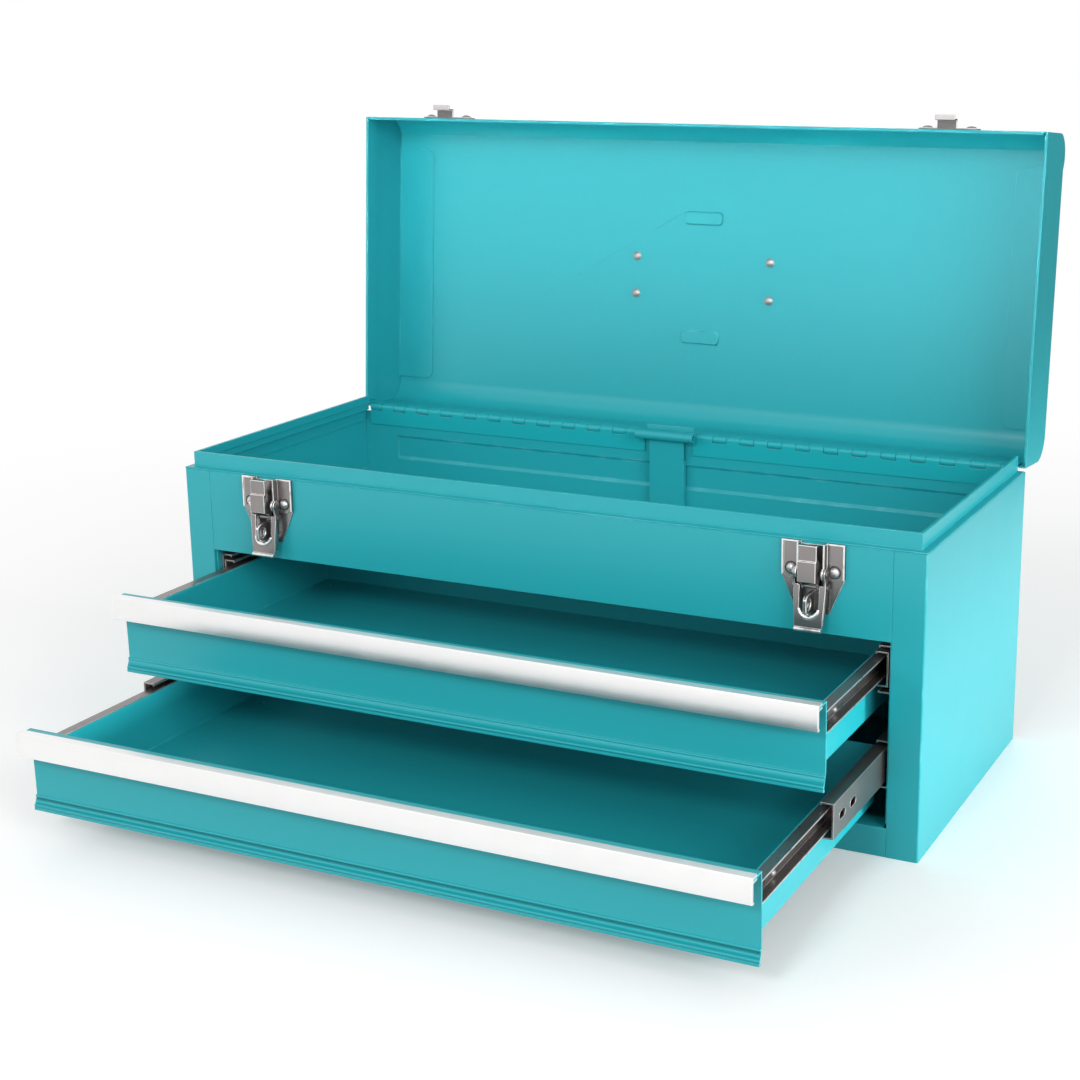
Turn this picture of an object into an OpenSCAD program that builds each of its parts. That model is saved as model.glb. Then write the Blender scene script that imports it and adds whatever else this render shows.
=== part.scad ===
// Portable steel tool box with a lift lid, an open top tray and two drawers on telescopic ball slides.
// Millimetres, +X right, front towards -Y, +Z up, origin at the centre of the base.
// Drawn as it stands in use: lid thrown back, both drawers part open, latch levers hanging loose.

/* [Cabinet] */
// Outer width of the cabinet
body_w = 520; // [420:5:640]
// Outer depth of the cabinet, front panel to back panel
body_d = 220; // [216:1:260]
// Height of the cabinet up to the seat of the lid
body_h = 190; // [186:1:210]
// Thickness of the steel sheet
sheet_t = 1.0; // [0.8:0.1:1.2]
// Width of the front stile at each side of the drawer opening
stile_w = 20; // [18:0.5:24]
// Depth of the return flange behind each stile
stile_return = 15; // [10:1:25]
// Height of the rail under the drawers
rail_h = 18.5; // [16:0.5:19]
// Height of the tray floor above the base
tray_floor_z = 134; // [134:1:140]
// Height of the weld flanges of the bottom pan
pan_flange = 12; // [8:1:15]

/* [Tray rim] */
// Distance from the outer face of the cabinet in to the rim
rim_inset = 4.5; // [4:0.1:6]
// Height of the rim above the seat of the lid
rim_h = 10; // [6:0.5:14]
// Height of the doubled hem at the top of the rim
rim_hem = 6; // [3:0.5:6]

/* [Back panel] */
// Depth of the pressed bands of the back panel
band_depth = 1.5; // [1:0.1:2]
// Height of each pressed band
band_h = 20; // [14:1:24]
// Depth of the centre of the upper band under the seat of the lid
band_drop = 29; // [26:1:31]
// Height of the centre of the lower band
low_band_z = 62; // [50:1:80]

/* [Lid] */
// Height of the lid above its seat
lid_h = 50; // [46:1:60]
// Angle at which the lid stands open
lid_open = 94.5; // [80:0.5:98]
// Radius of the front edge of the lid
lid_front_r = 15; // [10:1:18]
// Radius of the rear edge of the lid
lid_rear_r = 18; // [12:1:20]
// Height of the nose that runs along the front edge above the top panel
lid_nose = 3; // [2:0.5:4]
// Gap between the edge of the closed lid and its seat
lid_gap = 0.3; // [0.3:0.1:0.6]
// Width of the end cap flange under the top panel
cap_flange = 30; // [20:1:34]
// Height of the doubled hem round the edge of the lid
lid_hem = 12; // [12:0.5:14]

/* [Piano hinge] */
// Outer radius of the knuckles
knuckle_r = 2.5; // [2.3:0.1:2.8]
// Radius of the hinge pin
hinge_pin_r = 1.45; // [1.3:0.05:1.6]
// Radial clearance of the pin in the knuckles
pin_fit = 0.05; // [0.03:0.01:0.08]
// Length of the hinge leaf beyond the knuckles
leaf_h = 10; // [8:1:12]
// Distance from the side of the cabinet to the end of the hinge
hinge_inset = 6; // [5:1:40]
// Half width of the break in the hinge for the lock bar
hinge_break = 24; // [24:1:30]
// Number of knuckle pairs at each side of the break
knuckle_pairs = 11; // [6:1:12]

/* [Drawers] */
// Gap between a drawer front and the stile at each side
front_gap = 4; // [3:0.5:6]
// Height of each drawer front
front_h = 52; // [50:0.5:54]
// Height of the lower drawer front above the base
lower_z = 20; // [20:0.5:21]
// Distance between the two drawer fronts, edge to edge of the same kind
drawer_pitch = 59; // [58:0.5:60]
// How far the upper drawer stands open
upper_open = 97; // [0:1:195]
// How far the lower drawer stands open
lower_open = 188; // [0:1:195]
// Space between a shut drawer tray and the back panel
tray_space = 12; // [12:1:20]
// Height of the drawer tray sides
tray_h = 37; // [33:0.5:38]
// Height of the drawer tray above the lower edge of the front
tray_lift = 5.5; // [4:0.5:8]
// How far the flared lower edge of a front stands out
kick_out = 3; // [2.5:0.5:4]
// Height of the flare
kick_h = 10; // [8:1:12]
// Hollow of the front between its flare and its upper edge
front_dish = 1.2; // [0.6:0.1:1.4]

/* [Pull strips] */
// How far a pull strip stands in front of the drawer front
pull_reach = 14; // [12:0.5:16]
// Height of the front band of a pull strip
pull_h = 15; // [12:0.5:17]
// Wall of the aluminium strip
pull_t = 1.3; // [1.2:0.1:1.6]
// Rise of the rounded front band over its edges
pull_crown = 1; // [0.6:0.1:1.4]

/* [Ball slides] */
// Distance of the fixed slide members behind the front of the cabinet
slide_inset = 6; // [4:0.5:10]
// Space between the slides and the back of the cabinet
slide_space = 14; // [12:1:20]
// Thickness of a closed slide
slide_t = 12.8; // [12.8:0.1:13.2]
// Half height of the drawer member
inner_half = 6.8; // [6.4:0.1:7]
// Space between two members, where the balls run
race_gap = 3; // [2.9:0.1:3.1]
// Thickness of the slide steel
slide_steel = 1.0; // [0.9:0.1:1.1]
// Clearance between a ball and each race
ball_gap = 0.08; // [0.05:0.01:0.1]
// Balls in one row of a cage
ball_count = 5; // [3:1:6]
// Distance between two balls of a row
ball_pitch = 12; // [9:1:13]
// Height of the slide centre above the lower edge of the front
slide_lift = 36; // [35:0.5:37]
// Full travel of a drawer on its slides
slide_travel = 195; // [190:1:196]

/* [Latches] */
// Distance from the side of the cabinet to the centre of each latch
latch_inset = 68; // [60:1:110]
// Width over the wings of a latch base
wing_w = 39; // [36:1:42]
// Thickness of the latch steel
latch_t = 1.2; // [1:0.1:1.3]
// Height of the lever pivot under the seat of the lid
pivot_drop = 18; // [17.5:0.5:18.5]
// Distance of the lever pivot in front of the panel
pivot_out = 6.2; // [6:0.1:6.4]
// Length of the lever below its pivot
lever_len = 35; // [33:0.5:37]
// Width over the lever
lever_w = 20; // [19.6:0.2:20.6]
// Angle at which the loose lever hangs away from its closed place
lever_loose = 4; // [3.5:0.5:6]
// Radius of the pivot rivets
pivot_r = 1.5; // [1.3:0.1:1.7]
// Width of the catch plate on the lid
strike_w = 42; // [38:1:46]

/* [Handle] */
// Distance from the centre of the lid to each handle clip
clip_x = 53; // [45:1:70]
// Distance of the two rivets of a clip from its centre
clip_rivet = 13.75; // [13:0.25:18]
// Radius of the steel bail
bail_r = 3; // [2.5:0.1:3.5]
// Reach of the bail from its pivot to the grip
bail_reach = 43.5; // [38:0.5:55]
// Radius of the grip
grip_r = 7.5; // [6:0.5:9]
// Length of the grip
grip_len = 62; // [40:1:70]
// Radial clearance of the bail in its clips
bail_fit = 0.05; // [0.03:0.01:0.08]

/* [Lock bar] */
// Width of the lock bar
bar_w = 27; // [22:1:30]
// Depth of the channel of the lock bar
bar_depth = 4.6; // [4:0.1:4.6]
// Width of the head that the lid presses down
bar_head_w = 45; // [30:1:46]
// Stroke of the lock bar
bar_stroke = 5; // [4:0.5:5]

/* [Hidden] */

half_w = body_w / 2;
front_y = -body_d / 2;
back_y = body_d / 2;
band_z = body_h - band_drop;
hinge_end = half_w - hinge_inset;
latch_x = half_w - latch_inset;
tray_depth = body_d - 2 * sheet_t - tray_space;
slide_len = body_d - slide_inset - slide_space;
eps = 0.01;
paint = "#3db1ba";
zinc = "#b9bbbb";
alloy = "#e3e5e4";
dark = "#3b3d3f";

// ---- shared places -------------------------------------------------------
// The hinge axis: the knuckles sit on the inner leaf plane, between the two panel edges.
hinge_y = back_y - 2 * sheet_t + knuckle_r;
hinge_z = body_h + 0.5;
lid_seat = body_h + lid_gap;
lid_top = body_h + lid_h;
knuckle_gap = 0.3;
edge_clear = knuckle_r + knuckle_gap;

// Drawer and slide stack, outwards from the tray side
side_clear = 1.2;
bracket_t = 1.2;
opening_half = half_w - stile_w;
front_w = 2 * (opening_half - front_gap);
slide_seat = opening_half - bracket_t;
tray_half = slide_seat - slide_t;
slide_back = front_y + slide_inset;
upper_z = lower_z + drawer_pitch;
mid_half = inner_half + race_gap + slide_steel;
outer_half = mid_half + race_gap + slide_steel;
ball_r = race_gap / 2 - ball_gap;
member_web = 1.2;
cage_t = 1;
cage_end = 6;

// Latch section, n is the distance in front of the panel and z the height
pivot_z = body_h - pivot_drop;
claw_pin_n = 3.9;
claw_pin_drop = 8.4;
claw_lag = 1.1;
ear_gap = 0.2;
claw_half = 5.6;
lever_out = lever_w / 2;
ear_in = lever_out - 2 * latch_t - ear_gap;
ear_r = 3.7;
lever_face = 7;
staple_z = pivot_z - 18;
strike_hook_half = ear_in - 0.6;
clip_axis = lid_top + grip_r + 0.5;

// ---- helpers -------------------------------------------------------------
module block(x0, x1, y0, y1, z0, z1) {
    translate([x0, y0, z0]) cube([x1 - x0, y1 - y0, z1 - z0]);
}

// A section drawn in (y, z), drawn out along X
module along_x(x0, x1) {
    translate([x0, 0, 0]) rotate([90, 0, 90]) linear_extrude(x1 - x0) children();
}

module pair_x() {
    children();
    mirror([1, 0, 0]) children();
}

module rod_x(x0, x1, y, z, r, fn = 32) {
    translate([x0, y, z]) rotate([0, 90, 0]) cylinder(h = x1 - x0, r = r, $fn = fn);
}

// A shallow domed rivet head, its flat face on the XY plane
module dome(r, h) {
    sphere_r = (r * r + h * h) / (2 * h);
    intersection() {
        translate([0, 0, h - sphere_r]) sphere(r = sphere_r, $fn = 32);
        cylinder(h = h, r = r, $fn = 32);
    }
}

module stadium(len, wid) {
    square([len - wid, wid], center = true);
    for (s = [-1, 1]) translate([s * (len - wid) / 2, 0]) circle(d = wid, $fn = 32);
}

module rounded(len, wid, r) {
    square([len - 2 * r, wid], center = true);
    square([len, wid - 2 * r], center = true);
    for (sx = [-1, 1]) for (sy = [-1, 1]) translate([sx * (len / 2 - r), sy * (wid / 2 - r)]) circle(r = r, $fn = 32);
}

// ---- cabinet shell -------------------------------------------------------
module side_panel() {
    wall_in = half_w - sheet_t;
    color(paint) {
        block(wall_in, half_w, front_y, back_y, 0, body_h - sheet_t);
        block(opening_half, wall_in + eps, front_y, front_y + sheet_t, 0, body_h - sheet_t);
        block(opening_half, opening_half + sheet_t, front_y, front_y + stile_return, rail_h + 0.5, tray_floor_z);
    }
}

module side_panel_left() { mirror([1, 0, 0]) side_panel(); }
module side_panel_right() { side_panel(); }

// Pressed bands stand out at the back and are hollow inside
module back_panel() {
    band_half = half_w - 28;
    slope = band_depth;
    color(paint) difference() {
        union() {
            block(-half_w + sheet_t, half_w - sheet_t, back_y - sheet_t, back_y, 0, hinge_z - edge_clear);
            for (z = [band_z, low_band_z]) along_x(-band_half, band_half)
                polygon([[back_y - eps, z - band_h / 2], [back_y + band_depth, z - band_h / 2 + slope],
                    [back_y + band_depth, z + band_h / 2 - slope], [back_y - eps, z + band_h / 2]]);
        }
        for (z = [band_z, low_band_z]) along_x(-band_half + slope, band_half - slope)
            polygon([[back_y - sheet_t - eps, z - band_h / 2 + sheet_t],
                [back_y - sheet_t + band_depth, z - band_h / 2 + sheet_t + slope],
                [back_y - sheet_t + band_depth, z + band_h / 2 - sheet_t - slope],
                [back_y - sheet_t - eps, z + band_h / 2 - sheet_t]]);
    }
}

module bottom_pan() {
    wall_in = half_w - sheet_t;
    deck_front = front_y + sheet_t;
    deck_back = back_y - sheet_t;
    color(paint) {
        block(-wall_in, wall_in, deck_front, deck_back, 0, sheet_t);
        pair_x() block(wall_in - sheet_t, wall_in, deck_front + sheet_t, deck_back, sheet_t - eps, pan_flange);
        block(-wall_in + sheet_t, wall_in - sheet_t, deck_back - sheet_t, deck_back, sheet_t - eps, pan_flange);
    }
}

module upper_front_panel() {
    fold_d = 0.6 * stile_w;
    color(paint) difference() {
        union() {
            block(-opening_half, opening_half, front_y, front_y + sheet_t, tray_floor_z, body_h - sheet_t);
            block(-opening_half, opening_half, front_y + sheet_t - eps, front_y + fold_d, tray_floor_z, tray_floor_z + sheet_t);
        }
        for (side = [-1, 1]) for (s = [-1, 1]) translate([side * latch_x + s * base_rivet_x, front_y - 1, base_rivet_z])
            rotate([-90, 0, 0]) cylinder(h = 3, r = 2.05, $fn = 32);
    }
}

module bottom_rail() {
    rail_d = 0.8 * stile_w;
    inner = opening_half - 2 * sheet_t;
    color(paint) {
        block(-opening_half, opening_half, front_y, front_y + sheet_t, 0, rail_h);
        block(-inner, inner, front_y + sheet_t - eps, front_y + rail_d, rail_h - sheet_t, rail_h);
        block(-inner, inner, front_y + rail_d - sheet_t, front_y + rail_d, sheet_t, rail_h);
    }
}

// A ring of folded sheet round the front and the two sides: weld flange, ledge, rim and hem
module rim_ring(inset_out, inset_in, z0, z1) {
    rear = back_y - 3;
    difference() {
        block(-half_w + inset_out, half_w - inset_out, front_y + inset_out, rear, z0, z1);
        block(-half_w + inset_in, half_w - inset_in, front_y + inset_in, rear + 1, z0 - 1, z1 + 1);
    }
}

module tray_rim() {
    weld_flange = 10;
    rim_in = rim_inset + sheet_t;
    color(paint) {
        rim_ring(0, rim_in, body_h - sheet_t, body_h);
        rim_ring(sheet_t, 2 * sheet_t, body_h - weld_flange, body_h - sheet_t + eps);
        rim_ring(rim_inset, rim_in, body_h - eps, body_h + rim_h);
        rim_ring(rim_in - eps, rim_in + sheet_t, body_h + rim_h - rim_hem, body_h + rim_h);
    }
}

module tray_floor() {
    notch_half = bar_w / 2 + 2;
    notch_d = bar_depth + 3.5;
    floor_z = tray_floor_z + sheet_t;
    flange_h = 0.65 * pan_flange;
    color(paint) difference() {
        union() {
            block(-half_w + sheet_t, half_w - sheet_t, front_y + sheet_t, back_y - sheet_t, floor_z, floor_z + sheet_t);
            pair_x() block(half_w - 2 * sheet_t, half_w - sheet_t, front_y + stile_return, back_y - sheet_t,
                floor_z + sheet_t - eps, floor_z + flange_h);
        }
        block(-notch_half, notch_half, back_y - sheet_t - notch_d, back_y, floor_z - 1, floor_z + sheet_t + 1);
    }
}

// An inner wall that carries the slides, spot-welded to the stile return and the back panel
module slide_bracket() {
    rear = back_y - sheet_t;
    low = rail_h + 2;
    high = tray_floor_z - 0.5;
    color(paint) difference() {
        union() {
            block(slide_seat, opening_half, front_y + 2, rear, low, high);
            block(opening_half - eps, opening_half + 14, rear - bracket_t, rear, low, high);
            block(opening_half - eps, half_w - sheet_t, front_y + stile_return + 4, rear - 20, low, low + bracket_t);
        }
        for (z = [upper_z, lower_z]) for (y = slide_rivet_y)
            rod_x(slide_seat - 1, opening_half + 1, y, z + slide_lift, 1.65);
    }
}

module slide_bracket_left() { mirror([1, 0, 0]) slide_bracket(); }
module slide_bracket_right() { slide_bracket(); }

// ---- piano hinge ---------------------------------------------------------
hinge_run = hinge_end - hinge_break;
hinge_pitch = hinge_run / knuckle_pairs;
knuckle_len = hinge_pitch / 2 - knuckle_gap;

// One half of a leaf; side 0 hangs from the axis, side 1 stands on it
module hinge_leaf(side) {
    leaf_in = -knuckle_r;
    dir = side == 0 ? -1 : 1;
    translate([0, hinge_y, hinge_z]) difference() {
        union() {
            block(hinge_break, hinge_end, leaf_in, leaf_in + sheet_t,
                side == 0 ? -edge_clear - leaf_h : edge_clear, side == 0 ? -edge_clear : edge_clear + leaf_h);
            for (k = [0:knuckle_pairs - 1]) {
                x0 = hinge_break + (k + side / 2) * hinge_pitch + knuckle_gap / 2;
                rod_x(x0, x0 + knuckle_len, 0, 0, knuckle_r);
                block(x0, x0 + knuckle_len, leaf_in, leaf_in + sheet_t,
                    dir < 0 ? -edge_clear - eps : 0, dir < 0 ? 0 : edge_clear + eps);
            }
        }
        rod_x(hinge_break - 1, hinge_end + 1, 0, 0, hinge_pin_r + pin_fit);
    }
}

module hinge_body_leaf() { color(paint) pair_x() hinge_leaf(0); }

module hinge_pins() {
    color(zinc) pair_x() rod_x(hinge_break, hinge_end, hinge_y, hinge_z, hinge_pin_r);
}

// ---- lid -----------------------------------------------------------------
// Everything on the lid is drawn closed and turned back about the hinge axis
module on_lid() {
    translate([0, hinge_y, hinge_z]) rotate([-lid_open, 0, 0]) translate([0, -hinge_y, -hinge_z]) children();
}

// Outline of the lid seen from its end, shrunk by the wall
module lid_outline(wall) {
    nose_z = lid_top + lid_nose;
    front_c = front_y + lid_front_r;
    rear_c = back_y - lid_rear_r;
    step = lid_nose + 1;
    translate([front_y + wall, lid_seat]) square([body_d - 2 * wall, lid_top - lid_rear_r - lid_seat]);
    translate([front_y + wall, lid_seat]) square([body_d / 2, nose_z - lid_front_r - lid_seat]);
    translate([front_c, lid_seat]) square([rear_c - front_c, lid_top - wall - lid_seat]);
    translate([front_c, nose_z - lid_front_r]) circle(r = lid_front_r - wall, $fn = 64);
    translate([rear_c, lid_top - lid_rear_r]) circle(r = lid_rear_r - wall, $fn = 64);
    polygon([[front_c, lid_seat], [front_c, nose_z - wall], [front_c + 2, nose_z - wall],
        [front_c + 2 + step, lid_top - wall], [front_c + 2 + step, lid_seat]]);
}

pocket_len = 28;
pocket_w = 7;
pocket_r = 2;
pocket_depth = 1.5;
strip_front = front_y + lid_front_r - 1.5;
strip_back = front_y + lid_front_r + lid_nose + 4.5;

module lid_shell() {
    shell_half = half_w - sheet_t;
    rivet_hole = 2.05;
    color(paint) on_lid() difference() {
        union() {
            difference() {
                along_x(-shell_half, shell_half) lid_outline(0);
                along_x(-shell_half - 1, shell_half + 1) lid_outline(sheet_t);
                block(-half_w, half_w, front_y + sheet_t, back_y - sheet_t, lid_seat - 1, lid_seat + 5);
            }
            block(-shell_half + 2, shell_half - 2, front_y + sheet_t - eps, front_y + 2 * sheet_t, lid_seat, lid_seat + lid_hem);
            block(-shell_half + eps, shell_half - eps, strip_front, strip_back, lid_top - 2 * sheet_t, lid_top - sheet_t + eps);
            block(-bar_head_w / 2 + 4, bar_head_w / 2 - 4, hinge_y - 7, back_y - sheet_t + eps, lid_seat, lid_seat + sheet_t);
            for (s = [-1, 1]) translate([0, s * bail_reach, lid_top - sheet_t - pocket_depth])
                linear_extrude(pocket_depth + eps) rounded(pocket_len + 2 * sheet_t, pocket_w + 2 * sheet_t, pocket_r + sheet_t);
        }
        for (s = [-1, 1]) translate([0, s * bail_reach, lid_top - pocket_depth])
            linear_extrude(pocket_depth + 1) rounded(pocket_len, pocket_w, pocket_r);
        for (sx = [-1, 1]) for (sy = [-1, 1]) translate([sx * clip_x, sy * clip_rivet, lid_top - 4])
            cylinder(h = 6, r = rivet_hole, $fn = 32);
        for (side = [-1, 1]) for (s = [-1, 1])
            translate([side * latch_x + s * strike_rivet_x, front_y - 1, strike_low + strike_h / 2])
                rotate([-90, 0, 0]) cylinder(h = 4, r = rivet_hole, $fn = 32);
        pair_x() block(hinge_break - 1, hinge_end + 1, back_y - 2 * sheet_t, back_y + 1, lid_seat - 1, hinge_z + edge_clear);
    }
}

module lid_end() {
    wall_in = half_w - sheet_t;
    corner = 6;
    flange_in = wall_in - cap_flange;
    flange_front = strip_back + 0.5;
    flange_back = back_y - lid_rear_r - 1;
    color(paint) on_lid() {
        along_x(wall_in, half_w) lid_outline(0);
        block(wall_in - sheet_t, wall_in + eps, front_y + 2 * sheet_t, back_y - 4, lid_seat, lid_seat + lid_hem);
        translate([0, 0, lid_top - 2 * sheet_t]) linear_extrude(sheet_t) {
            translate([flange_in + corner, flange_front]) square([cap_flange - corner + eps, flange_back - flange_front]);
            translate([flange_in, flange_front + corner]) square([corner + eps, flange_back - flange_front - 2 * corner]);
            for (y = [flange_front + corner, flange_back - corner])
                translate([flange_in + corner, y]) circle(r = corner, $fn = 32);
        }
    }
}

module lid_end_left() { mirror([1, 0, 0]) lid_end(); }
module lid_end_right() { lid_end(); }
module hinge_lid_leaf() { color(paint) on_lid() pair_x() hinge_leaf(1); }

// The catch plate: a flat riveted plate whose tongue is folded out and down into a hook
strike_rivet_x = 15;
strike_low = lid_seat + 2;
strike_h = 13;

module strike(side) {
    hook_drop = 3.2;
    fold_n = 7.2;
    reach = 9.6;
    face = front_y;
    color(zinc) on_lid() translate([side * latch_x, 0, 0]) {
        difference() {
            translate([0, face, strike_low + strike_h / 2]) rotate([90, 0, 0])
                linear_extrude(latch_t) stadium(strike_w, strike_h);
            for (s = [-1, 1]) translate([s * strike_rivet_x, face + 1, strike_low + strike_h / 2])
                rotate([90, 0, 0]) cylinder(h = 4, r = 2.05, $fn = 32);
        }
        half = strike_hook_half;
        block(-half, half, face - fold_n, face - latch_t + eps, strike_low, strike_low + latch_t);
        block(-half, half, face - fold_n, face - fold_n + latch_t, body_h - hook_drop, strike_low + latch_t);
        block(-half, half, face - reach, face - fold_n + eps, body_h - hook_drop, body_h - hook_drop + latch_t);
    }
}

module strike_left() { strike(-1); }
module strike_right() { strike(1); }

module strike_rivets() {
    color(zinc) on_lid() for (side = [-1, 1]) for (s = [-1, 1])
        translate([side * latch_x + s * strike_rivet_x, 0, strike_low + strike_h / 2]) {
            translate([0, front_y - latch_t, 0]) rotate([90, 0, 0]) dome(3.6, 1.8);
            translate([0, front_y + 2 * sheet_t, 0]) rotate([-90, 0, 0]) cylinder(h = 0.8, r = 3, $fn = 32);
            translate([0, front_y + 2 * sheet_t + eps, 0]) rotate([90, 0, 0])
                cylinder(h = 2 * sheet_t + latch_t + 2 * eps, r = 2, $fn = 32);
        }
}

// ---- handle --------------------------------------------------------------
clip_w = 12;
clip_t = 1.5;

module handle_clips() {
    wall = 2;
    loop_r = bail_r + wall;
    color(zinc) on_lid() for (s = [-1, 1]) translate([s * clip_x, 0, 0]) difference() {
        union() {
            translate([0, 0, lid_top]) linear_extrude(clip_t) rotate(90) stadium(2 * clip_rivet + clip_w, clip_w);
            block(-clip_w / 2 + 1, clip_w / 2 - 1, -loop_r, loop_r, lid_top, clip_axis);
            rod_x(-clip_w / 2 + 1, clip_w / 2 - 1, 0, clip_axis, loop_r);
        }
        rod_x(-clip_w, clip_w, 0, clip_axis, bail_r + bail_fit);
        for (sy = [-1, 1]) translate([0, sy * clip_rivet, lid_top - 1]) cylinder(h = 4, r = 2.05, $fn = 32);
    }
}

module handle_rivets() {
    color(zinc) on_lid() for (sx = [-1, 1]) for (sy = [-1, 1]) translate([sx * clip_x, sy * clip_rivet, 0]) {
        translate([0, 0, lid_top - sheet_t]) mirror([0, 0, 1]) dome(3.4, 1.6);
        translate([0, 0, lid_top + clip_t]) dome(3.8, 2);
        translate([0, 0, lid_top - sheet_t - eps]) cylinder(h = sheet_t + clip_t + 2 * eps, r = 2, $fn = 32);
    }
}

// The bail hangs plumb while the lid leans back past upright
bail_hang = max(0, lid_open - 90);
bend_r = 8;
bail_in = clip_x - clip_w / 2 - 3;

module handle_bail() {
    arm_x = bail_in - bend_r;
    color(zinc) on_lid() translate([0, 0, clip_axis]) rotate([bail_hang, 0, 0]) {
        pair_x() {
            rod_x(bail_in - eps, clip_x + clip_w / 2 + 3, 0, 0, bail_r);
            translate([bail_in, bend_r, 0]) rotate(180) rotate_extrude(angle = 90, $fn = 64)
                translate([bend_r, 0]) circle(r = bail_r, $fn = 32);
            translate([arm_x, bend_r - eps, 0]) rotate([-90, 0, 0])
                cylinder(h = bail_reach - 2 * bend_r + 2 * eps, r = bail_r, $fn = 32);
            translate([arm_x - bend_r, bail_reach - bend_r, 0]) rotate_extrude(angle = 90, $fn = 64)
                translate([bend_r, 0]) circle(r = bail_r, $fn = 32);
        }
        rod_x(-arm_x + bend_r - eps, arm_x - bend_r + eps, bail_reach, 0, bail_r);
    }
}

module handle_grip() {
    end_r = 1.5;
    len = min(grip_len, 2 * (bail_in - 2 * bend_r) - 0.5);
    color(dark) on_lid() translate([0, 0, clip_axis]) rotate([bail_hang, 0, 0])
        translate([-len / 2, bail_reach, 0]) rotate([0, 90, 0]) difference() {
        union() {
            translate([0, 0, end_r]) cylinder(h = len - 2 * end_r, r = grip_r, $fn = 48);
            cylinder(h = len, r = grip_r - end_r, $fn = 48);
            for (z = [end_r, len - end_r]) translate([0, 0, z]) rotate_extrude($fn = 48)
                translate([grip_r - end_r, 0]) circle(r = end_r, $fn = 24);
        }
        translate([0, 0, -1]) cylinder(h = len + 2, r = bail_r + 0.05, $fn = 32);
    }
}

// ---- drawers -------------------------------------------------------------
// Every drawer piece is drawn shut and carried forward by the amount its drawer stands open
module at_drawer(open, z) { translate([0, -open, z]) children(); }

// Places of the rivets along the slides: in the drawer members and in the fixed members
drawer_rivet_y = [-84, 66];
slide_rivet_y = [-64, 71];

module drawer_tray(open, z) {
    tray_front = front_y + sheet_t;
    tray_back = tray_front + tray_depth;
    rivet_hole = 1.65;
    slot_half = 12.5;
    slot_h = 2.5;
    slot_drop = 5;
    hole_in = 14;
    color(paint) at_drawer(open, z) difference() {
        block(-tray_half, tray_half, tray_front, tray_back, tray_lift, tray_lift + tray_h);
        block(-slot_half, slot_half, tray_back - sheet_t - 1, tray_back + 1,
            tray_lift + tray_h - slot_drop - slot_h, tray_lift + tray_h - slot_drop);
        for (sx = [-1, 1]) for (y = [tray_front + hole_in, tray_back - hole_in])
            translate([sx * (tray_half - hole_in), y, tray_lift - 1]) cylinder(h = sheet_t + 2, r = 1.8, $fn = 24);
        block(-tray_half + sheet_t, tray_half - sheet_t, tray_front + sheet_t, tray_back - sheet_t,
            tray_lift + sheet_t, tray_lift + tray_h + 1);
        for (y = drawer_rivet_y) rod_x(-tray_half - 1, tray_half + 1, y, slide_lift, rivet_hole);
    }
}

// The folded front: bottom hem, flared edge with two beads, hollow face and the flange that carries the pull strip
module drawer_front(open, z) {
    f = front_y;
    t = sheet_t;
    hem_d = 2.4;
    bead_r = 0.9;
    arc = 8;
    face_top = front_h - t;
    flange_tip = f - pull_reach + pull_t + pull_crown;
    outer_face = [for (i = [0:arc]) [f - front_dish * pow(i / arc, 2), kick_h + (face_top - kick_h) * i / arc]];
    inner_face = [for (i = [arc:-1:0]) [f + t - front_dish * pow(i / arc, 2), kick_h + (face_top + t - kick_h) * i / arc]];
    color(paint) at_drawer(open, z) along_x(-front_w / 2, front_w / 2) {
        polygon(concat([[f - kick_out + hem_d, 0], [f - kick_out, 0], [f - kick_out, 1.6 * t]], outer_face,
            [[flange_tip, face_top], [flange_tip, front_h]], inner_face,
            [[f - kick_out + 1.6 * t, 2.2 * t], [f - kick_out + 2 * t, t], [f - kick_out + hem_d, t]]));
        for (p = [[f - 0.4, kick_h - 1.6], [f - kick_out + 0.9, 3]]) translate(p) circle(r = bead_r, $fn = 24);
    }
}

// An extruded strip: crowned band, top leg and two lips that grip the flange of the front
module drawer_pull(open, z) {
    nose = front_y - pull_reach;
    band = nose + pull_crown;
    low = front_h + pull_t - pull_h;
    high = front_h + pull_t;
    leg = 5;
    crown_r = (pull_h * pull_h / 4 + pull_crown * pull_crown) / (2 * pull_crown);
    color(alloy) at_drawer(open, z) along_x(-front_w / 2, front_w / 2) {
        translate([band, low]) square([pull_t, pull_h]);
        intersection() {
            translate([nose + crown_r, (low + high) / 2]) circle(r = crown_r, $fn = 128);
            translate([nose - 1, low]) square([1 + pull_crown + eps, pull_h]);
        }
        translate([band, high - pull_t]) square([leg + pull_t, pull_t]);
        translate([band, front_h - sheet_t - pull_t]) square([leg + pull_t, pull_t]);
        translate([band, low]) square([2 * pull_t, pull_t]);
    }
}

module upper_drawer_tray() { drawer_tray(upper_open, upper_z); }
module upper_drawer_front() { drawer_front(upper_open, upper_z); }
module upper_drawer_pull() { drawer_pull(upper_open, upper_z); }
module lower_drawer_tray() { drawer_tray(lower_open, lower_z); }
module lower_drawer_front() { drawer_front(lower_open, lower_z); }
module lower_drawer_pull() { drawer_pull(lower_open, lower_z); }

// ---- ball slides ---------------------------------------------------------
// A drawer first runs out on its inner members and takes the middle members along once these are spent
function mid_shift(open) = max(0, open - slide_travel / 2);

// Section of a slide member in (s, v): s outwards from the tray side, v up from the slide centre
module slide_solid(shift, z) {
    at_drawer(shift, z + slide_lift) pair_x() translate([tray_half, slide_back, 0]) rotate([90, 0, 0])
        mirror([0, 0, 1]) linear_extrude(slide_len) children();
}

module both_ways() {
    children();
    mirror([0, 1]) children();
}

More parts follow.
